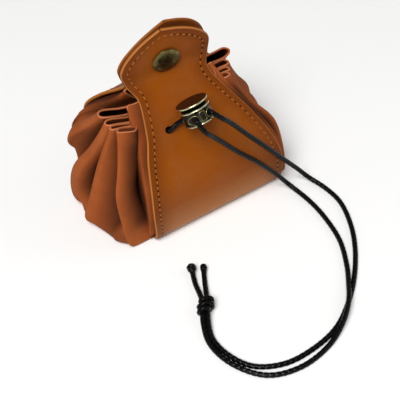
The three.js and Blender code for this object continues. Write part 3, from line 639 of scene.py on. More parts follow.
def leather_shell(middle, thickness, side):
    """Closed leather wall around its middle sheet.

    The outer face is the sheet plus half the thickness along its normal, the inner face minus half,
    and half ellipses round off the two long edges. Returns the points as closed loops over the second
    axis, with a mark on the cut edges that falls from 1 at the outer face to 0 at the inner one, and a
    mark of 1 on the inner face.
    """
    normal = unit(np.cross(np.gradient(middle, axis=0), np.gradient(middle, axis=1))) * side
    outer = middle + normal * thickness / 2
    inner = middle - normal * thickness / 2
    angles = np.pi * np.arange(1, EDGE_STEPS + 1) / (EDGE_STEPS + 1)

    def edge(column, beside):
        """Half ellipse from the outer to the inner face, outwards in the sheet."""
        line = middle[:, column]
        out = np.cross(np.gradient(line, axis=0), normal[:, column])
        out *= np.sign(np.sum(out * (line - middle[:, beside]), axis=1, keepdims=True))
        out = unit(out)[:, None, :]
        up = normal[:, column][:, None, :]
        swing = np.cos(angles)[None, :, None] * up * thickness / 2
        return line[:, None, :] + swing + np.sin(angles)[None, :, None] * out * EDGE_ROUND

    loops = np.concatenate([outer, edge(-1, -2), inner[:, ::-1], edge(0, 1)[:, ::-1]], axis=1)
    columns = middle.shape[1]
    # Cut edges marked from the outer face fading towards the inner one: their pale colour with a painted
    # highlight on the outer corner.
    cut = np.zeros(loops.shape[:2])
    fade = np.linspace(1.0, 0.0, EDGE_STEPS)
    cut[:, columns:columns + EDGE_STEPS] = fade
    cut[:, 2 * columns + EDGE_STEPS:] = fade[::-1]
    inside = np.zeros(loops.shape[:2])
    inside[:, columns + EDGE_STEPS:2 * columns + EDGE_STEPS] = 1.0
    return loops, cut, inside


def tube_faces(rings, sides, flip=False, closed=False):
    """Corner numbers of the quads of a tube; closed joins its last ring to its first."""
    i = np.arange(rings if closed else rings - 1)[:, None]
    j = np.arange(sides)[None, :]
    n = (i + 1) % rings
    k = (j + 1) % sides
    corners = [i * sides + j, n * sides + j, n * sides + k, i * sides + k]
    quads = np.stack(corners, axis=-1).reshape(-1, 4)
    return quads[:, ::-1] if flip else quads


def end_faces(rings, sides, flip=False):
    """One face on the first ring of a tube and one on the last."""
    first = list(range(sides))
    last = list(range((rings - 1) * sides, rings * sides))
    return [first[::-1], last] if flip else [first, last[::-1]]


def solid_faces(rings, sides, flip=False):
    """All faces of a tube that is closed at both ends."""
    return tube_faces(rings, sides, flip).tolist() + end_faces(rings, sides, flip)


def shell_faces(rows, columns, flip):
    """Faces of a leather shell, with strips between its outer and inner face at both ends."""
    loop = 2 * columns + 2 * EDGE_STEPS
    j = np.arange(columns - 1)
    opposite = 2 * columns + EDGE_STEPS - 1 - j
    strip = np.stack([j, j + 1, opposite - 1, opposite], axis=1)
    far_edge = list(range(columns - 1, columns + EDGE_STEPS + 1))
    near_edge = [0] + [2 * columns + EDGE_STEPS - 1] + list(range(2 * columns + EDGE_STEPS, loop))
    start = strip.tolist() + [far_edge, near_edge]
    end = [[loop * (rows - 1) + k for k in face[::-1]] for face in start]
    ends = [face[::-1] for face in start + end] if flip else start + end
    return tube_faces(rows, loop, flip).tolist() + ends


def turned(rows, sides):
    """Surface of revolution: each row's radius times cosine and sine of the angle, at the row's height."""
    rows = np.asarray(rows, float)
    angle = around(sides)
    x = rows[:, :1] * np.cos(angle)
    y = rows[:, :1] * np.sin(angle)
    z = np.repeat(rows[:, 1:2], sides, axis=1)
    return np.stack([x, y, z], axis=-1)


def smooth_rows(rows, steps):
    """Rows of a profile with a smooth curve through them."""
    flat = np.array([(r, h, 0.0) for r, h in rows])
    return curve_through(flat, np.linspace(0.0, 1.0, steps))[:, :2]


def place(points, origin, axes):
    """Points in a frame: the sum of each coordinate times its axis, from the origin."""
    return np.asarray(origin) + np.asarray(points) @ np.asarray(axes)


def add_object(name, data):
    """New object in the scene that holds a mesh, a light or a camera."""
    item = bpy.data.objects.new(name, data)
    bpy.context.scene.collection.objects.link(item)
    return item


def new_mesh(name, points, faces):
    """Mesh in metres from points in millimetres and the corner numbers of its faces."""
    mesh = bpy.data.meshes.new(name)
    corners = (np.asarray(points).reshape(-1, 3) * MM).tolist()
    mesh.from_pydata(corners, [], [list(face) for face in faces])
    return mesh


def make_piece(
    name, points, faces, finishes, body, stands_for=(), marks=None, finish_of_face=None,
):
    """New mesh piece, smooth shaded, on its body and in place of its plain solids."""
    mesh = new_mesh(name, points, faces)
    mesh.polygons.foreach_set("use_smooth", np.ones(len(mesh.polygons), dtype=bool))
    for finish in finishes:
        mesh.materials.append(finish)
    if finish_of_face is not None:
        mesh.polygons.foreach_set("material_index", np.asarray(finish_of_face, dtype=np.int32))
    for key, values in (marks or {}).items():
        attribute = mesh.attributes.new(key, "FLOAT", "POINT")
        attribute.data.foreach_set("value", np.asarray(values, dtype=np.float32).ravel())
    mesh.update()
    piece = add_object(name, mesh)
    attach(piece, body)
    if stands_for:
        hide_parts(*stands_for)
    return piece


def cut_away(piece, solids):
    """Takes closed meshes of (points, faces) out of a piece, and leaves the result in its mesh."""
    cutters = []
    for points, faces in solids:
        cutter = add_object("cutter", new_mesh("cutter", points, faces))
        modifier = piece.modifiers.new("cut", "BOOLEAN")
        modifier.object = cutter
        modifier.operation = "DIFFERENCE"
        modifier.solver = "EXACT"
        cutters.append(cutter)
    shown = piece.evaluated_get(bpy.context.evaluated_depsgraph_get())
    result = bpy.data.meshes.new_from_object(shown)
    piece.modifiers.clear()
    old = piece.data
    piece.data = result
    result.name = old.name
    bpy.data.meshes.remove(old)
    for cutter in cutters:
        mesh = cutter.data
        bpy.data.objects.remove(cutter)
        bpy.data.meshes.remove(mesh)


def round_bar(origin, axes, radii, low, high):
    """Closed bar of elliptic section along the third axis, between two heights."""
    grid = turned([(1.0, low), (1.0, high)], DRILL_SIDES) * np.array([*radii, 1.0])
    return place(grid, origin, axes), solid_faces(2, DRILL_SIDES, flip=True)


def stitch_places(pitch, inset):
    """Middle, direction and normal of every stitch, in a line at an even distance inside the strap's edge.

    The strap is laid flat: its outline is moved inwards along its own normal, what comes too near
    another edge is dropped, and the rest is divided evenly and mapped back onto the leather.
    """
    along = STATIONS["along"]
    width = STATIONS["half_width"]
    outline = np.concatenate([
        np.stack([width, along], axis=1),
        np.stack([-width[::-1], along[::-1]], axis=1),
    ])
    tangent = unit(np.roll(outline, -1, axis=0) - np.roll(outline, 1, axis=0))
    inner = outline + inset * np.stack([-tangent[:, 1], tangent[:, 0]], axis=1)
    gap = np.linalg.norm(inner[:, None, :] - outline[None, :, :], axis=2).min(axis=1)
    inner = inner[gap > inset - STITCH_SLACK]
    inner = np.vstack([inner, inner[:1]])
    run = run_along(inner)
    count = int(run[-1] / pitch)
    middles = (np.arange(count) + 0.5) * run[-1] / count

    def on_leather(distance):
        """Point of the strap's outer face at a distance along the line, and one a millimetre over it."""
        x = np.interp(distance, run, inner[:, 0])
        s = np.interp(distance, run, inner[:, 1])
        return settle(beside_strap(s, x, 0.0)), settle(beside_strap(s, x, -1.0))

    place_at, above = on_leather(middles)
    ahead, _ = on_leather(middles + STITCH_AHEAD)
    gap_at, gap_above = on_leather(np.clip(middles + 0.5 * run[-1] / count, 0.0, run[-1]))
    return place_at, unit(ahead - place_at), unit(above - place_at), gap_at, unit(gap_above - gap_at)


def many_pods(middles, forward, normal, sizes):
    """The same small pod at many places: an ellipsoid with flat ends and three half sizes.

    Cosine of a half turn lengthwise, and sine of it to a power below 1 around.
    """
    turn = np.pi * np.linspace(POD_END, 1 - POD_END, POD_RINGS)[:, None]
    angle = around(POD_SIDES)
    girth = np.sin(turn) ** POD_BLUNT
    pod = np.stack([np.cos(turn) + 0 * angle, girth * np.cos(angle), girth * np.sin(angle)], axis=-1)
    axes = np.stack([forward, np.cross(normal, forward), normal], axis=1)
    points = place(pod * np.array(sizes), middles[:, None, None], axes[:, None])
    firsts = np.arange(len(middles))[:, None, None] * POD_RINGS * POD_SIDES
    quads = (tube_faces(POD_RINGS, POD_SIDES)[None] + firsts).reshape(-1, 4)
    ends = (np.array(end_faces(POD_RINGS, POD_SIDES))[None] + firsts).reshape(-1, POD_SIDES)
    return points, quads.tolist() + ends.tolist()


def tube_frames(path):
    """Two directions square to a line at each point, carried along it with little turning.

    The first is the one before it less its part along the line, the second their cross product.
    """
    tangent = unit(np.gradient(path, axis=0))
    sideways = np.zeros_like(path)
    sideways[0] = unit(np.cross(tangent[0], FIRST_ASIDE))
    for k in range(1, len(path)):
        carried = sideways[k - 1] - tangent[k] * np.dot(sideways[k - 1], tangent[k])
        sideways[k] = carried / np.linalg.norm(carried)
    return sideways, np.cross(tangent, sideways)


def rings_about(first, second, angle):
    """Round rings of unit radius: at each place, cosine times one direction plus sine times the other."""
    cosine = np.cos(angle)[None, :, None]
    sine = np.sin(angle)[None, :, None]
    return cosine * first[:, None, :] + sine * second[:, None, :]


def braided_cord(path, radius, braid_pitch, swell=None):
    """Round cord along a line, as rings of points.

    Its radius rises where either of two sets of strands, wound left and right, lies on top; swell adds
    to the radius ring by ring, and both ends close in a half round.
    """
    sideways, upwards = tube_frames(path)
    step = line_length(path) / (len(path) - 1)
    distance = np.arange(len(path)) * step
    angle = around(CORD_SIDES)
    phase = 2 * np.pi * distance[:, None] / braid_pitch
    left = np.cos(BRAID_STRANDS * angle[None, :] + phase)
    right = np.cos(BRAID_STRANDS * angle[None, :] - phase)
    thick = radius * (1 - BRAID_DEPTH + BRAID_DEPTH * np.maximum(left, right))
    if swell is not None:
        thick = thick + swell[:, None]
    from_end = np.minimum(distance, distance[-1] - distance)
    closing = np.sqrt(np.clip(1 - (1 - np.clip(from_end / radius, 0.0, 1.0)) ** 2, ROUND_END, 1.0))
    thick = thick * closing[:, None]
    return path[:, None, :] + thick[..., None] * rings_about(sideways, upwards, angle)


def drawcord_path(side, hole_x, inside, in_lock, route, tail):
    """One strand from the middle of the back inside the bag to its free end, as evenly spaced points."""
    hole, axes = strap_frame(HOLE_HEIGHT, hole_x, False)
    through_strap = [hole + axes[2] * distance for distance in HOLE_ROUTE]
    in_knot = np.array(KNOT_PLACE) + side * KNOT_CORE_SPREAD * np.array(KNOT_SIDE)
    controls = np.vstack([settle(inside), through_strap, at_lock(in_lock), route, in_knot, tail])
    return resample(curve_through(controls, np.linspace(0.0, 1.0, CURVE_STEPS)), CORD_STEP)


def knot_path():
    """Wraps of the knot: an elliptic coil, cosine aside and sine up, whose ends tuck in to its axis."""
    turn = np.linspace(0.0, 2 * np.pi * KNOT_TURNS, KNOT_STEPS)
    share = turn / turn[-1]
    tuck = mix(KNOT_TUCK, 1.0, ease(np.minimum(share, 1 - share) / KNOT_TUCK_SHARE))
    along = (share - 0.5) * KNOT_LENGTH + KNOT_TILT * np.cos(turn)
    aside = KNOT_WRAP_WIDTH * tuck * np.cos(turn) + KNOT_SHIFT
    up = KNOT_WRAP_HEIGHT * tuck * np.sin(turn)
    axes = (KNOT_AXIS, KNOT_SIDE, (0.0, 0.0, 1.0))
    return resample(place(np.stack([along, aside, up], axis=1), KNOT_PLACE, axes), CORD_STEP)


def lock_frame():
    """Place of the barrel's foot in front of the strap, with directions across, out and up its axis."""
    origin, (across, up, outward) = strap_frame(LOCK_HEIGHT, LOCK_SHIFT, False)
    return origin + outward * LOCK_STAND_OFF, np.array([across, outward, up])


LOCK_ORIGIN, LOCK_AXES = lock_frame()


def at_lock(points):
    """Points given across, out from the barrel's axis and up from its foot."""
    return place(points, LOCK_ORIGIN, LOCK_AXES)


def trim_on_barrel(across, up, radius):
    """Closed round trim along a line on the barrel's wall: out is the root of radius² less across²."""
    line = np.stack([across, np.sqrt(radius**2 - across**2), up], axis=1)
    out = unit(line * np.array([1.0, 1.0, 0.0]))
    tangent = unit(np.roll(line, -1, axis=0) - np.roll(line, 1, axis=0))
    beside = unit(np.cross(tangent, out))
    return line[:, None, :] + TRIM_RADIUS * rings_about(out, beside, around(TRIM_SIDES))


def linear(red, green, blue):
    """Colour on screen from 0 to 255 as linear values for the shaders, by the screen's usual curve."""
    screen = np.array([red, green, blue]) / 255.0
    light = np.where(screen <= 0.04045, screen / 12.92, ((screen + 0.055) / 1.055) ** 2.4)
    return tuple(float(v) for v in light)


class Finish:
    """Node material on Object coordinates, whose colour is laid on layer by layer."""

    def __init__(self, name, colour):
        self.material = bpy.data.materials.new(name)
        self.material.use_nodes = True
        self.tree = self.material.node_tree
        self.tree.nodes.clear()
        self.shader = self.tree.nodes.new("ShaderNodeBsdfPrincipled")
        self.node("ShaderNodeOutputMaterial", {"Surface": self.shader.outputs["BSDF"]})
        self.where = self.tree.nodes.new("ShaderNodeTexCoord").outputs["Object"]
        self.colour = (*colour, 1.0)

    def feed(self, socket, value):
        """Links an input to another node's output, or sets it to a value."""
        if isinstance(value, bpy.types.NodeSocket):
            self.tree.links.new(value, socket)
        else:
            socket.default_value = value

    def node(self, kind, inputs):
        """New node with some of its inputs fed."""
        node = self.tree.nodes.new(kind)
        for key, value in inputs.items():
            self.feed(node.inputs[key], value)
        return node

    def noise(self, scale, detail, rough):
        """Noise pattern of a number of spots to the metre."""
        inputs = {"Vector": self.where, "Scale": scale, "Detail": detail, "Roughness": rough}
        return self.node("ShaderNodeTexNoise", inputs).outputs["Fac"]

    def spread(self, value, low, high, to_low, to_high):
        """Value from a range onto another range, held at its ends."""
        inputs = {"Value": value, "From Min": low, "From Max": high, "To Min": to_low, "To Max": to_high}
        return self.node("ShaderNodeMapRange", inputs).outputs["Result"]

    def patches(self, scale, low, high, to_low=0.0, to_high=1.0, detail=3.0, rough=0.55):
        """Noise whose values from low to high are spread onto another range."""
        return self.spread(self.noise(scale, detail, rough), low, high, to_low, to_high)

    def mark(self, key, share=1.0):
        """A piece's own mark from 0 to 1, times a share."""
        node = self.tree.nodes.new("ShaderNodeAttribute")
        node.attribute_name = key
        return self.spread(node.outputs["Fac"], 0.0, 1.0, 0.0, share)

    def low_down(self, low, high, share):
        """A share at the lower height that falls to 0 at the higher one, both in metres."""
        height = self.node("ShaderNodeSeparateXYZ", {"Vector": self.where}).outputs["Z"]
        return self.spread(height, low, high, share, 0.0)

    def tint(self, share, colour):
        """Lays another colour over the one so far, by a share from 0 to 1."""
        node = self.node("ShaderNodeMix", {"Factor": share})
        node.data_type = "RGBA"
        under, over = (next(s for s in node.inputs if s.name == key and s.type == "RGBA") for key in "AB")
        self.feed(under, self.colour)
        self.feed(over, (*colour, 1.0))
        self.colour = next(s for s in node.outputs if s.type == "RGBA")

    def bumps(self, height, depth, strength):
        """Bumps of a depth in metres from a height pattern."""
        inputs = {"Height": height, "Distance": depth, "Strength": strength}
        self.feed(self.shader.inputs["Normal"], self.node("ShaderNodeBump", inputs).outputs["Normal"])

    def done(self, roughness, specular, metallic=0.0):
        """The finished material, once its colour and gloss are fed to the shader."""
        self.feed(self.shader.inputs["Base Color"], self.colour)
        self.feed(self.shader.inputs["Roughness"], roughness)
        self.feed(self.shader.inputs["Specular IOR Level"], specular)
        self.feed(self.shader.inputs["Metallic"], metallic)
        return self.material


def smooth_tan_leather(settings):
    """Strap leather: tan with darker clouds, pale rubbed places, a painted sheen at the foot, fine grain
    and pale cut edges with a painted highlight towards the outer face.
    """
    finish = Finish("smooth_tan_leather", settings.strap_colour)
    clouds = finish.patches(scale=38.0, low=0.35, high=0.7, rough=0.5)
    mottle = finish.patches(scale=900.0, low=0.3, high=0.75, to_high=0.35, detail=2.0, rough=0.6)
    rubs = finish.patches(scale=75.0, low=0.42, high=0.75, to_high=0.12, detail=5.0, rough=0.6)
    gloss = finish.patches(scale=260.0, low=0.3, high=0.7, to_low=0.36, to_high=0.52, rough=0.6)
    grain = finish.noise(scale=1500.0, detail=4.0, rough=0.6)
    finish.tint(clouds, settings.strap_shade)
    finish.tint(mottle, settings.strap_shade)
    finish.tint(rubs, settings.strap_rub_and_sheen)
    # Painted sheen: paler low on the strap, fading out between 3 and 20 mm up.
    finish.tint(finish.low_down(low=0.003, high=0.02, share=0.55), settings.strap_rub_and_sheen)
    # Darker near the strap's edge.
    finish.tint(finish.mark("edge_dark", share=0.75), settings.strap_edge_dark)
    finish.tint(finish.mark("inside", share=0.6), settings.edge_shade)
    # Pale cut edge, brighter at its outer corner by a painted highlight.
    finish.tint(finish.mark("cut"), settings.edge_and_highlight_colour)
    finish.bumps(grain, depth=0.0002, strength=0.22)
    return finish.done(roughness=gloss, specular=0.1)


def soft_side_leather(settings):
    """Side leather: matt red-brown with a brushed nap, painted shade in the hollows, pale cut edges with a
    painted highlight towards the outer face, and a dark inside.
    """
    finish = Finish("soft_side_leather", settings.side_colour)
    clouds = finish.patches(scale=60.0, low=0.3, high=0.75, detail=4.0)
    nap = finish.patches(scale=1700.0, low=0.3, high=0.75, to_high=0.4, detail=2.0, rough=0.6)
    grain = finish.noise(scale=1900.0, detail=4.0, rough=0.65)
    finish.tint(clouds, settings.side_shade)
    finish.tint(nap, settings.side_shade)
    # Painted shade in the valleys between the pleats and behind the front strip.
    finish.tint(finish.mark("hollow_shade", share=0.85), settings.side_hollow_shade)
    finish.tint(finish.mark("inside"), settings.side_inside)
    # Pale cut edge, brighter at its outer corner by a painted highlight.
    finish.tint(finish.mark("cut"), settings.side_edge_and_highlight)
    finish.bumps(grain, depth=0.0002, strength=0.3)
    return finish.done(roughness=0.72, specular=0.08)


def tan_thread(settings):
    """Waxed tan thread with fine fibres."""
    finish = Finish("tan_thread", settings.thread_colour)
    fibres = finish.patches(scale=2600.0, low=0.3, high=0.7, detail=2.0)
    finish.tint(fibres, settings.thread_shade)
    finish.bumps(fibres, depth=0.0001, strength=0.4)
    return finish.done(roughness=0.6, specular=0.15)


def awl_hole_shade(settings):
    """Painted shade of a punched hole at the end of a stitch, laid on a dark pod."""
    finish = Finish("awl_hole_shade", settings.hole_shade_colour)
    gloss = finish.patches(scale=1500.0, low=0.3, high=0.7, to_low=0.7, to_high=0.95)
    return finish.done(roughness=gloss, specular=0.02)


def worn_metal(name, colour, shade, rough_low, rough_high, metallic=1.0):
    """Metal with darker clouds and an uneven polish between two roughnesses."""
    finish = Finish(name, colour)
    finish.tint(finish.patches(scale=420.0, low=0.35, high=0.7, detail=4.0, rough=0.6), shade)
    gloss = finish.patches(scale=900.0, low=0.3, high=0.7, to_low=rough_low, to_high=rough_high)
    return finish.done(roughness=gloss, specular=0.5, metallic=metallic)


def worn_bronze(settings):
    """Worn bronze of the snap."""
    return worn_metal("worn_bronze", settings.bronze_colour, settings.bronze_shade, 0.24, 0.4)


def polished_brass(settings):
    """Bright rims of the cord lock."""
    return worn_metal("polished_brass", settings.brass_colour, settings.brass_shade, 0.24, 0.34)


def aged_brass(settings):
    """Trims about the openings of the cord lock."""
    return worn_metal("aged_brass", settings.aged_colour, settings.aged_shade, 0.26, 0.4)


def brown_metal(settings):
    """Face of the cord lock's button, dulled by a brown coat."""
    return worn_metal("brown_metal", settings.cap_colour, settings.cap_shade, 0.34, 0.46, metallic=0.8)


def blackened_metal(settings):
    """Wall and inside of the cord lock's barrel."""
    colour = settings.black_colour
    return worn_metal("blackened_metal", colour, settings.black_shade, 0.3, 0.5, metallic=0.6)


def waxed_black_cord(settings):
    """Black braid with darker fibres and an uneven gloss of wax."""
    finish = Finish("waxed_black_cord", settings.cord_colour)
    fibres = finish.patches(scale=2400.0, low=0.3, high=0.7)
    gloss = finish.patches(scale=1300.0, low=0.3, high=0.7, to_low=0.16, to_high=0.3, detail=2.0)
    finish.tint(fibres, settings.cord_shade)
    return finish.done(roughness=gloss, specular=0.12)


def pale_floor(settings):
    """Plain matt floor."""
    return Finish("pale_floor", settings.floor_colour).done(roughness=0.9, specular=0.1)


def colour_choice(name, description, red, green, blue):
    """Colour property with its default given as a colour on screen."""
    return bpy.props.FloatVectorProperty(
        name=name, description=description, subtype="COLOR", size=3, min=0.0, max=1.0,
        default=linear(red, green, blue),
    )


def length_choice(name, description, default, low, high):
    """Length property, given in millimetres."""
    return bpy.props.FloatProperty(
        name=name, description=description, subtype="DISTANCE", unit="LENGTH",
        default=default * MM, min=low * MM, max=high * MM,
    )


def power_choice(name, description, default):
    """Power of a light, in watts."""
    return bpy.props.FloatProperty(
        name=name, description=description, unit="POWER", default=default, min=0.0, max=100.0)


class DiceBagLeather(bpy.types.PropertyGroup):
    """Leather of the strap and of the side walls."""

    strap_thickness: length_choice("Strap thickness", "Thickness of the strap's leather", 1.6, 1.0, 3.0)
    side_thickness: length_choice("Side thickness", "Thickness of the side walls' leather", 1.0, 0.8, 2.0)
    strap_colour: colour_choice("Strap", "Main colour of the strap", 144, 73, 5)
    strap_shade: colour_choice("Strap shade", "Darker clouds on the strap", 128, 60, 4)
    # Pale rubbed places, and the painted sheen at the foot of the strap.
    strap_rub_and_sheen: colour_choice("Strap rubs", "Pale rubbed leather, most of all at the foot", 186, 132, 84)
    # Darker leather near the strap's edge.
    strap_edge_dark: colour_choice("Strap burnish", "Darkened leather near the strap's edge", 104, 47, 4)
    # Pale cut edge, with a painted highlight at its outer corner.
    edge_and_highlight_colour: colour_choice("Cut edge", "Pale cut edge of the strap", 176, 112, 54)
    edge_shade: colour_choice("Strap inside", "Inner face of the strap", 120, 66, 26)
    side_colour: colour_choice("Sides", "Main colour of the side walls", 162, 86, 41)
    side_shade: colour_choice("Side shade", "Darker nap of the side walls", 134, 65, 28)
    # Painted shade in the valleys between the pleats.
    side_hollow_shade: colour_choice("Side hollows", "Unrubbed leather between the pleats", 36, 14, 6)
    side_inside: colour_choice("Side inside", "Inner face of the side walls", 96, 45, 24)
    # Pale cut edge, with a painted highlight at its outer corner.
    side_edge_and_highlight: colour_choice("Side edge", "Pale cut edge of the side walls", 190, 118, 80)


class DiceBagStitches(bpy.types.PropertyGroup):
    """Stitches along the strap's edge."""

    pitch: length_choice("Pitch", "Distance from stitch to stitch", 2.9, 1.5, 6.0)
    inset: length_choice("Inset", "Distance of the stitches from the edge", 3.0, 1.5, 6.0)
    thread_colour: colour_choice("Thread", "Colour of the thread", 176, 110, 48)
    thread_shade: colour_choice("Thread shade", "Darker fibres of the thread", 140, 78, 28)
    # Painted shade in the punched holes.
    hole_shade_colour: colour_choice("Awl holes", "Colour in the punched holes", 58, 24, 6)


class DiceBagMetal(bpy.types.PropertyGroup):
    """Snap and cord lock."""

    bronze_colour: colour_choice("Bronze", "Worn bronze of the snap", 120, 108, 66)
    bronze_shade: colour_choice("Bronze shade", "Dark clouds in the bronze", 66, 54, 26)
    cap_colour: colour_choice("Cap", "Brown face of the cord lock's button", 52, 27, 11)
    cap_shade: colour_choice("Cap shade", "Dark clouds on the button", 38, 19, 8)
    brass_colour: colour_choice("Brass", "Polished rims", 232, 228, 188)
    brass_shade: colour_choice("Brass shade", "Worn rims", 196, 190, 142)
    aged_colour: colour_choice("Aged brass", "Trims about the openings", 164, 156, 104)
    aged_shade: colour_choice("Aged shade", "Dark clouds on the trims", 104, 96, 58)
    black_colour: colour_choice("Blackened metal", "Barrel and groove", 34, 30, 22)
    black_shade: colour_choice("Blackened shade", "Darkest parts of the barrel", 14, 13, 10)


class DiceBagCord(bpy.types.PropertyGroup):
    """Black drawcord."""

    diameter: length_choice("Diameter", "Diameter of the cord", 2.3, 1.0, 4.0)
    braid_pitch: length_choice("Braid pitch", "Length of one turn of the braid's pattern", 2.4, 1.0, 10.0)
    cord_colour: colour_choice("Cord", "Colour of the cord", 12, 12, 13)
    cord_shade: colour_choice("Cord shade", "Darker fibres of the cord", 6, 6, 6)


class DiceBagStage(bpy.types.PropertyGroup):
    """Floor, light and camera."""

    floor_colour: colour_choice("Floor", "Colour of the floor", 244, 244, 243)
    sky: bpy.props.FloatProperty(
        name="Sky", description="Strength of the light from all around", default=0.2, min=0.0, max=4.0)
    main_power: power_choice("Main light", "Power of the main soft light", 31.0)
    fill_power: power_choice("Fill light", "Power of the weaker soft light", 1.0)


class DICEBAG_OT_cords(bpy.types.Operator):
    """Both strands of the drawcord with their end knots, and the wraps of the knot that ties them"""

    bl_idname = "dicebag.cords"
    bl_label = "Drawcord"

    def execute(self, context):
        settings = context.scene.dice_bag_cord
        finish = waxed_black_cord(settings)
        radius = settings.diameter / MM / 2
        pitch = settings.braid_pitch / MM
        coil = braided_cord(knot_path(), radius, pitch)
        wraps = self.cord_piece("drawcord_knot", coil, finish, ("cord_knot",))
        left = drawcord_path(-1.0, LEFT_HOLE, LEFT_INSIDE, LEFT_LOCK, LEFT_ROUTE, LEFT_TAIL)
        right = drawcord_path(1.0, RIGHT_HOLE, RIGHT_INSIDE, RIGHT_LOCK, RIGHT_ROUTE, RIGHT_TAIL)
        strands = (
            ("drawcord_left", left, LEFT_END_KNOT, ("cord_left", "tail_left"), [wraps]),
            ("drawcord_right", right, RIGHT_END_KNOT, ("cord_right", "tail_right"), []),
        )
        for name, path, end_knot, nodes, on_it in strands:
            points = braided_cord(path, radius, pitch, self.end_knot(path, end_knot - radius))
            piece = self.cord_piece(name, points, finish, nodes)
        return {"FINISHED"}

    @staticmethod
    def end_knot(path, height):
        """Swelling of the cord's last stretch: an eased rise to a pear, times a cosine for its wraps."""
        left = line_length(path) * (1 - np.linspace(0.0, 1.0, len(path)))
        pear = ease((END_KNOT_LENGTH - left) / END_KNOT_TAPER)
        wraps = 1 + END_KNOT_WRAP_DEPTH * np.cos(2 * np.pi * left / END_KNOT_WRAP)
        return height * pear * wraps

    @staticmethod
    def cord_piece(name, points, finish, nodes):
        """Closed mesh from the rings of a cord."""
        faces = solid_faces(*points.shape[:2], flip=True)
        return make_piece(name, points, faces, [finish], BAG, nodes)


class DICEBAG_OT_strap(bpy.types.Operator):
    """Strap of smooth leather from the front tab under the bag to the back tab, with its holes"""

    bl_idname = "dicebag.strap"
    bl_label = "Strap"

    def execute(self, context):
        settings = context.scene.dice_bag_leather
        thickness = settings.strap_thickness / MM
        middle = strap_middle(thickness)
        loops, cut, inside = leather_shell(middle, thickness, 1.0)
        faces = shell_faces(*middle.shape[:2], flip=False)
        piece = make_piece(
            "leather_strap", loops, faces, [smooth_tan_leather(settings)], BAG, ("strap",),
            {"cut": cut, "inside": inside, "edge_dark": edge_dark_of_loops(loops)},
        )
        cut_away(piece, [self.drill(*hole) for hole in (
            (HOLE_HEIGHT, LEFT_HOLE, False, HOLE_RADIUS),
            (HOLE_HEIGHT, RIGHT_HOLE, False, HOLE_RADIUS),
            (SNAP_HEIGHT, 0.0, False, SNAP_HOLE_RADIUS),
            (SNAP_HEIGHT, 0.0, True, SNAP_HOLE_RADIUS),
        )])
        return {"FINISHED"}

    @staticmethod
    def drill(height, x, is_back, radius):
        """Round bar through the leather, square to its face."""
        origin, axes = strap_frame(height, x, is_back)
        return round_bar(origin, axes, (radius, radius), DRILL_FROM, DRILL_TO)


class DICEBAG_OT_stitches(bpy.types.Operator):
    """Stitches in a line inside the strap's edge, with a dark pod of painted shade for an awl hole between
    each two
    """

    bl_idname = "dicebag.stitches"
    bl_label = "Stitches"

    def execute(self, context):
        settings = context.scene.dice_bag_stitches
        spots, forward, normal, gaps, gap_normal = stitch_places(settings.pitch / MM, settings.inset / MM)
        slant = unit(forward + STITCH_SLANT * np.cross(normal, forward))
        lift = np.where(spots[:, 2:] < STITCH_GROUND, STITCH_SUNK, STITCH_LIFT)
        threads, faces = many_pods(spots + lift * normal, slant, normal, STITCH_SIZE)
        make_piece("strap_stitches", threads, faces, [tan_thread(settings)], BAG)
        side = unit(np.cross(gap_normal, np.roll(forward, -1, axis=0)))
        ahead = np.cross(side, gap_normal)
        # Dark pods between the stitches: painted shade in the awl holes.
        holes, faces = many_pods(gaps, ahead, gap_normal, AWL_HOLE_SIZE)
        make_piece("stitch_holes", holes, faces, [awl_hole_shade(settings)], BAG)
        return {"FINISHED"}


class DICEBAG_OT_sides(bpy.types.Operator):
    """Two side walls of soft leather, gathered into open pleats"""

    bl_idname = "dicebag.sides"
    bl_label = "Side walls"

    def execute(self, context):
        settings = context.scene.dice_bag_leather
        finish = soft_side_leather(settings)
        thickness = settings.side_thickness / MM
        walls = (
            ("side_wall_left", -1.0, "gusset_left"),
            ("side_wall_right", 1.0, "gusset_right"),
        )
        for name, side, node in walls:
            middle = side_middle(side, thickness, settings.strap_thickness / MM)
            loops, cut, inside = leather_shell(middle, thickness, side)
            rows, columns = middle.shape[:2]
            # Painted shade of the valleys, on the outer face only.
            hollow_shade = np.zeros(loops.shape[:2])
            hollow_shade[:, :columns] = painted_hollow_shade(middle)
            faces = shell_faces(rows, columns, flip=side < 0)
            piece = make_piece(
                name, loops, faces, [finish], BAG, (node,),
                {"cut": cut, "inside": inside, "hollow_shade": hollow_shade},
            )
        return {"FINISHED"}


class DICEBAG_OT_snap(bpy.types.Operator):
    """Snap through both tabs: a low dome in front and a plain disc behind"""

    bl_idname = "dicebag.snap"
    bl_label = "Snap"

    def execute(self, context):
        settings = context.scene.dice_bag_metal
        finish = worn_bronze(settings)
        inside = -context.scene.dice_bag_leather.strap_thickness / MM - SNAP_DISC_GAP
        for name, rows, is_back, node in (
            ("snap_dome", smooth_rows(SNAP_CAP_ROWS, SNAP_CAP_STEPS), False, "snap_cap"),
            ("snap_rear", np.array(SNAP_BACK_ROWS), True, "snap_back"),
        ):
            profile = np.vstack([
                [(AXIS, inside - SNAP_DISC_THICKNESS), (SNAP_DISC_RADIUS, inside - SNAP_DISC_THICKNESS)],
                [(SNAP_DISC_RADIUS, inside), (SNAP_POST_RADIUS, inside), (SNAP_POST_RADIUS, rows[0, 1])],
                rows[:-1],
                [(AXIS, rows[-1, 1])],
            ])
            grid = place(turned(profile, LOCK_SIDES), *strap_frame(SNAP_HEIGHT, 0.0, is_back))
            faces = solid_faces(len(profile), LOCK_SIDES, flip=True)
            make_piece(name, grid, faces, [finish], BAG, (node,))
        return {"FINISHED"}


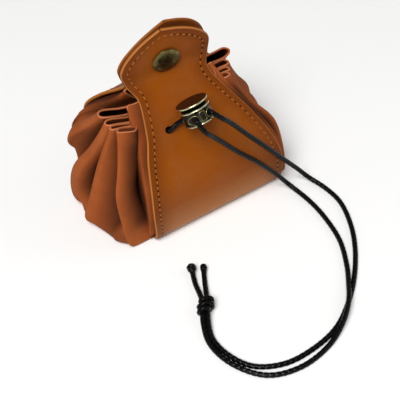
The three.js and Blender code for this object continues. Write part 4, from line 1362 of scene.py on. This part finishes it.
class DICEBAG_OT_lock(bpy.types.Operator):
    """Cord lock: blackened barrel with bright rims and openings, and the button that is pressed into it"""

    bl_idname = "dicebag.lock"
    bl_label = "Cord lock"

    def execute(self, context):
        settings = context.scene.dice_bag_metal
        finishes = {
            "black": blackened_metal(settings),
            "brass": polished_brass(settings),
            "brown": brown_metal(settings),
        }
        barrel = self.turned_piece("lock_body", BARREL_RUNS, finishes, BAG, "lock_barrel", "old_brass")
        self.cut_openings(barrel)
        self.trims(aged_brass(settings))
        self.turned_piece("lock_cap", BUTTON_RUNS, finishes, BUTTON, "lock_button", "dark_bronze")
        return {"FINISHED"}

    @staticmethod
    def turned_piece(name, runs, finishes, body, node, slot):
        """Turned piece on the lock's axis; the band that follows each row has the finish of its run."""
        used = list(dict.fromkeys(finish for finish, _ in runs))
        rows = [row for _, run in runs for row in run]
        kinds = np.array([used.index(finish) for finish, run in runs for _ in run])
        grid = at_lock(turned(rows, LOCK_SIDES))
        finish_of_face = np.concatenate([np.repeat(kinds[:-1], LOCK_SIDES), kinds[[0, -1]]])
        return make_piece(
            name, grid, solid_faces(len(rows), LOCK_SIDES), [finishes[key] for key in used], body, (node,),
            finish_of_face=finish_of_face,
        )

    @staticmethod
    def cut_openings(barrel):
        """Two openings for the cord, through the barrel from front to back."""
        axes = np.array([LOCK_AXES[0], LOCK_AXES[2], -LOCK_AXES[1]])
        radii = (OPENING_HALF_WIDTH, OPENING_HALF_HEIGHT)
        places = [at_lock(np.array([side * OPENING_SPREAD, 0.0, OPENING_HEIGHT])) for side in (-1.0, 1.0)]
        cut_away(barrel, [round_bar(spot, axes, radii, -OPENING_REACH, OPENING_REACH) for spot in places])

    @staticmethod
    def trims(finish):
        """Round trims about the openings, front and back, and about the window between them."""
        turn = around(TRIM_STEPS)
        lines = []
        for side in (-1.0, 1.0):
            across = side * OPENING_SPREAD + OPENING_HALF_WIDTH * np.cos(turn)
            lines.append((across, OPENING_HEIGHT + OPENING_HALF_HEIGHT * np.sin(turn)))
        wide = np.sign(np.cos(turn)) * np.abs(np.cos(turn)) ** WINDOW_ROUND
        tall = np.sign(np.sin(turn)) * np.abs(np.sin(turn)) ** WINDOW_ROUND
        lines.append((WINDOW_HALF_WIDTH * wide, WINDOW_HEIGHT + WINDOW_HALF_HEIGHT * tall))
        points = []
        faces = []
        for facing in (1.0, -1.0):
            for across, up in lines:
                tube = trim_on_barrel(across, up, BARREL_RADIUS) * np.array([1.0, facing, 1.0])
                quads = tube_faces(*tube.shape[:2], flip=facing < 0, closed=True)
                faces.extend((quads + sum(len(p) for p in points)).tolist())
                points.append(tube.reshape(-1, 3))
        make_piece("lock_trims", at_lock(np.vstack(points)), faces, [finish], BAG)


def look_axes(back, roll):
    """Right, up and back directions of something that looks against back, rolled about it."""
    back = unit(np.asarray(back, float))
    level = unit(np.cross((0.0, 0.0, 1.0), back))
    upright = np.cross(back, level)
    right = np.cos(roll) * level - np.sin(roll) * upright
    up = np.sin(roll) * level + np.cos(roll) * upright
    return np.array([right, up, back])


def set_view(item, spot, axes):
    """Puts a light or a camera at a place in metres, turned to its right, up and back directions."""
    item.location = spot
    item.rotation_euler = Matrix(axes.T.tolist()).to_euler()


class DICEBAG_OT_stage(bpy.types.Operator):
    """Pale floor, soft light and the camera at the photo's angle"""

    bl_idname = "dicebag.stage"
    bl_label = "Stage"

    def execute(self, context):
        settings = context.scene.dice_bag_stage
        self.floor(settings)
        self.light("main_light", MAIN_LIGHT_PLACE, MAIN_LIGHT_SIZE, settings.main_power)
        self.light("fill_light", FILL_LIGHT_PLACE, FILL_LIGHT_SIZE, settings.fill_power)
        world = bpy.data.worlds.new("soft_sky")
        world.use_nodes = True
        sky = world.node_tree.nodes["Background"]
        sky.inputs["Color"].default_value = (1.0, 1.0, 1.0, 1.0)
        sky.inputs["Strength"].default_value = settings.sky
        context.scene.world = world
        context.scene.view_settings.view_transform = "Standard"
        self.camera(context.scene)
        return {"FINISHED"}

    @staticmethod
    def floor(settings):
        """Flat square at the height of the bag's bottom."""
        corners = np.array([(-1, -1, 0), (1, -1, 0), (1, 1, 0), (-1, 1, 0)]) * FLOOR_REACH / MM
        mesh = new_mesh("floor", corners, [(0, 1, 2, 3)])
        mesh.materials.append(pale_floor(settings))
        floor = add_object("floor", mesh)

    @staticmethod
    def light(name, spot, size, power):
        """Square soft light at a place, aimed at the bag."""
        lamp = bpy.data.lights.new(name, "AREA")
        lamp.size = size
        lamp.energy = power
        back = np.array(spot) - np.array(LIGHT_AIM)
        set_view(add_object(name, lamp), spot, look_axes(back, 0.0))

    @staticmethod
    def camera(scene):
        """Camera from its angles, roll, distance and aim."""
        lens = bpy.data.cameras.new("camera")
        lens.lens = CAMERA_LENS
        lens.sensor_width = CAMERA_SENSOR
        lens.clip_start = CAMERA_NEAR * MM
        azimuth = np.radians(CAMERA_AZIMUTH)
        elevation = np.radians(CAMERA_ELEVATION)
        back = np.array([
            np.sin(azimuth) * np.cos(elevation), -np.cos(azimuth) * np.cos(elevation), np.sin(elevation),
        ])
        axes = look_axes(back, np.radians(CAMERA_ROLL))
        aim = np.array([0.0, 0.0, CAMERA_AIM_HEIGHT]) + CAMERA_RIGHT * axes[0] + CAMERA_UP * axes[1]
        scene.camera = add_object("camera", lens)
        set_view(scene.camera, (aim + CAMERA_DISTANCE * back) * MM, axes)


class DICEBAG_PT_panel(bpy.types.Panel):
    """Settings and buttons of the dice bag"""

    bl_idname = "DICEBAG_PT_panel"
    bl_label = "Dice bag"
    bl_space_type = "VIEW_3D"
    bl_region_type = "UI"
    bl_category = "Dice bag"

    def draw(self, context):
        for key, group in GROUPS.items():
            box = self.layout.box()
            box.label(text=group.__doc__)
            for field in group.__annotations__:
                box.prop(getattr(context.scene, key), field)
        for operator in OPERATORS:
            self.layout.operator(operator.bl_idname)


GROUPS = {
    "dice_bag_leather": DiceBagLeather,
    "dice_bag_stitches": DiceBagStitches,
    "dice_bag_metal": DiceBagMetal,
    "dice_bag_cord": DiceBagCord,
    "dice_bag_stage": DiceBagStage,
}
OPERATORS = (
    DICEBAG_OT_stage,
    DICEBAG_OT_cords,
    DICEBAG_OT_strap,
    DICEBAG_OT_stitches,
    DICEBAG_OT_sides,
    DICEBAG_OT_snap,
    DICEBAG_OT_lock,
)
CLASSES = (*GROUPS.values(), *OPERATORS, DICEBAG_PT_panel)


def register():
    """Makes the classes known and hangs the settings on the scene."""
    for item in CLASSES:
        bpy.utils.register_class(item)
    for key, group in GROUPS.items():
        setattr(bpy.types.Scene, key, bpy.props.PointerProperty(type=group))


def unregister():
    """Takes the settings and the classes away again."""
    for key in GROUPS:
        delattr(bpy.types.Scene, key)
    for item in reversed(CLASSES):
        bpy.utils.unregister_class(item)


def main():
    """Builds the stage and every piece."""
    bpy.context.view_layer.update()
    register()
    bpy.ops.dicebag.stage()
    bpy.ops.dicebag.cords()
    bpy.ops.dicebag.strap()
    bpy.ops.dicebag.stitches()
    bpy.ops.dicebag.sides()
    bpy.ops.dicebag.snap()
    bpy.ops.dicebag.lock()


if __name__ == "__main__":
    main()
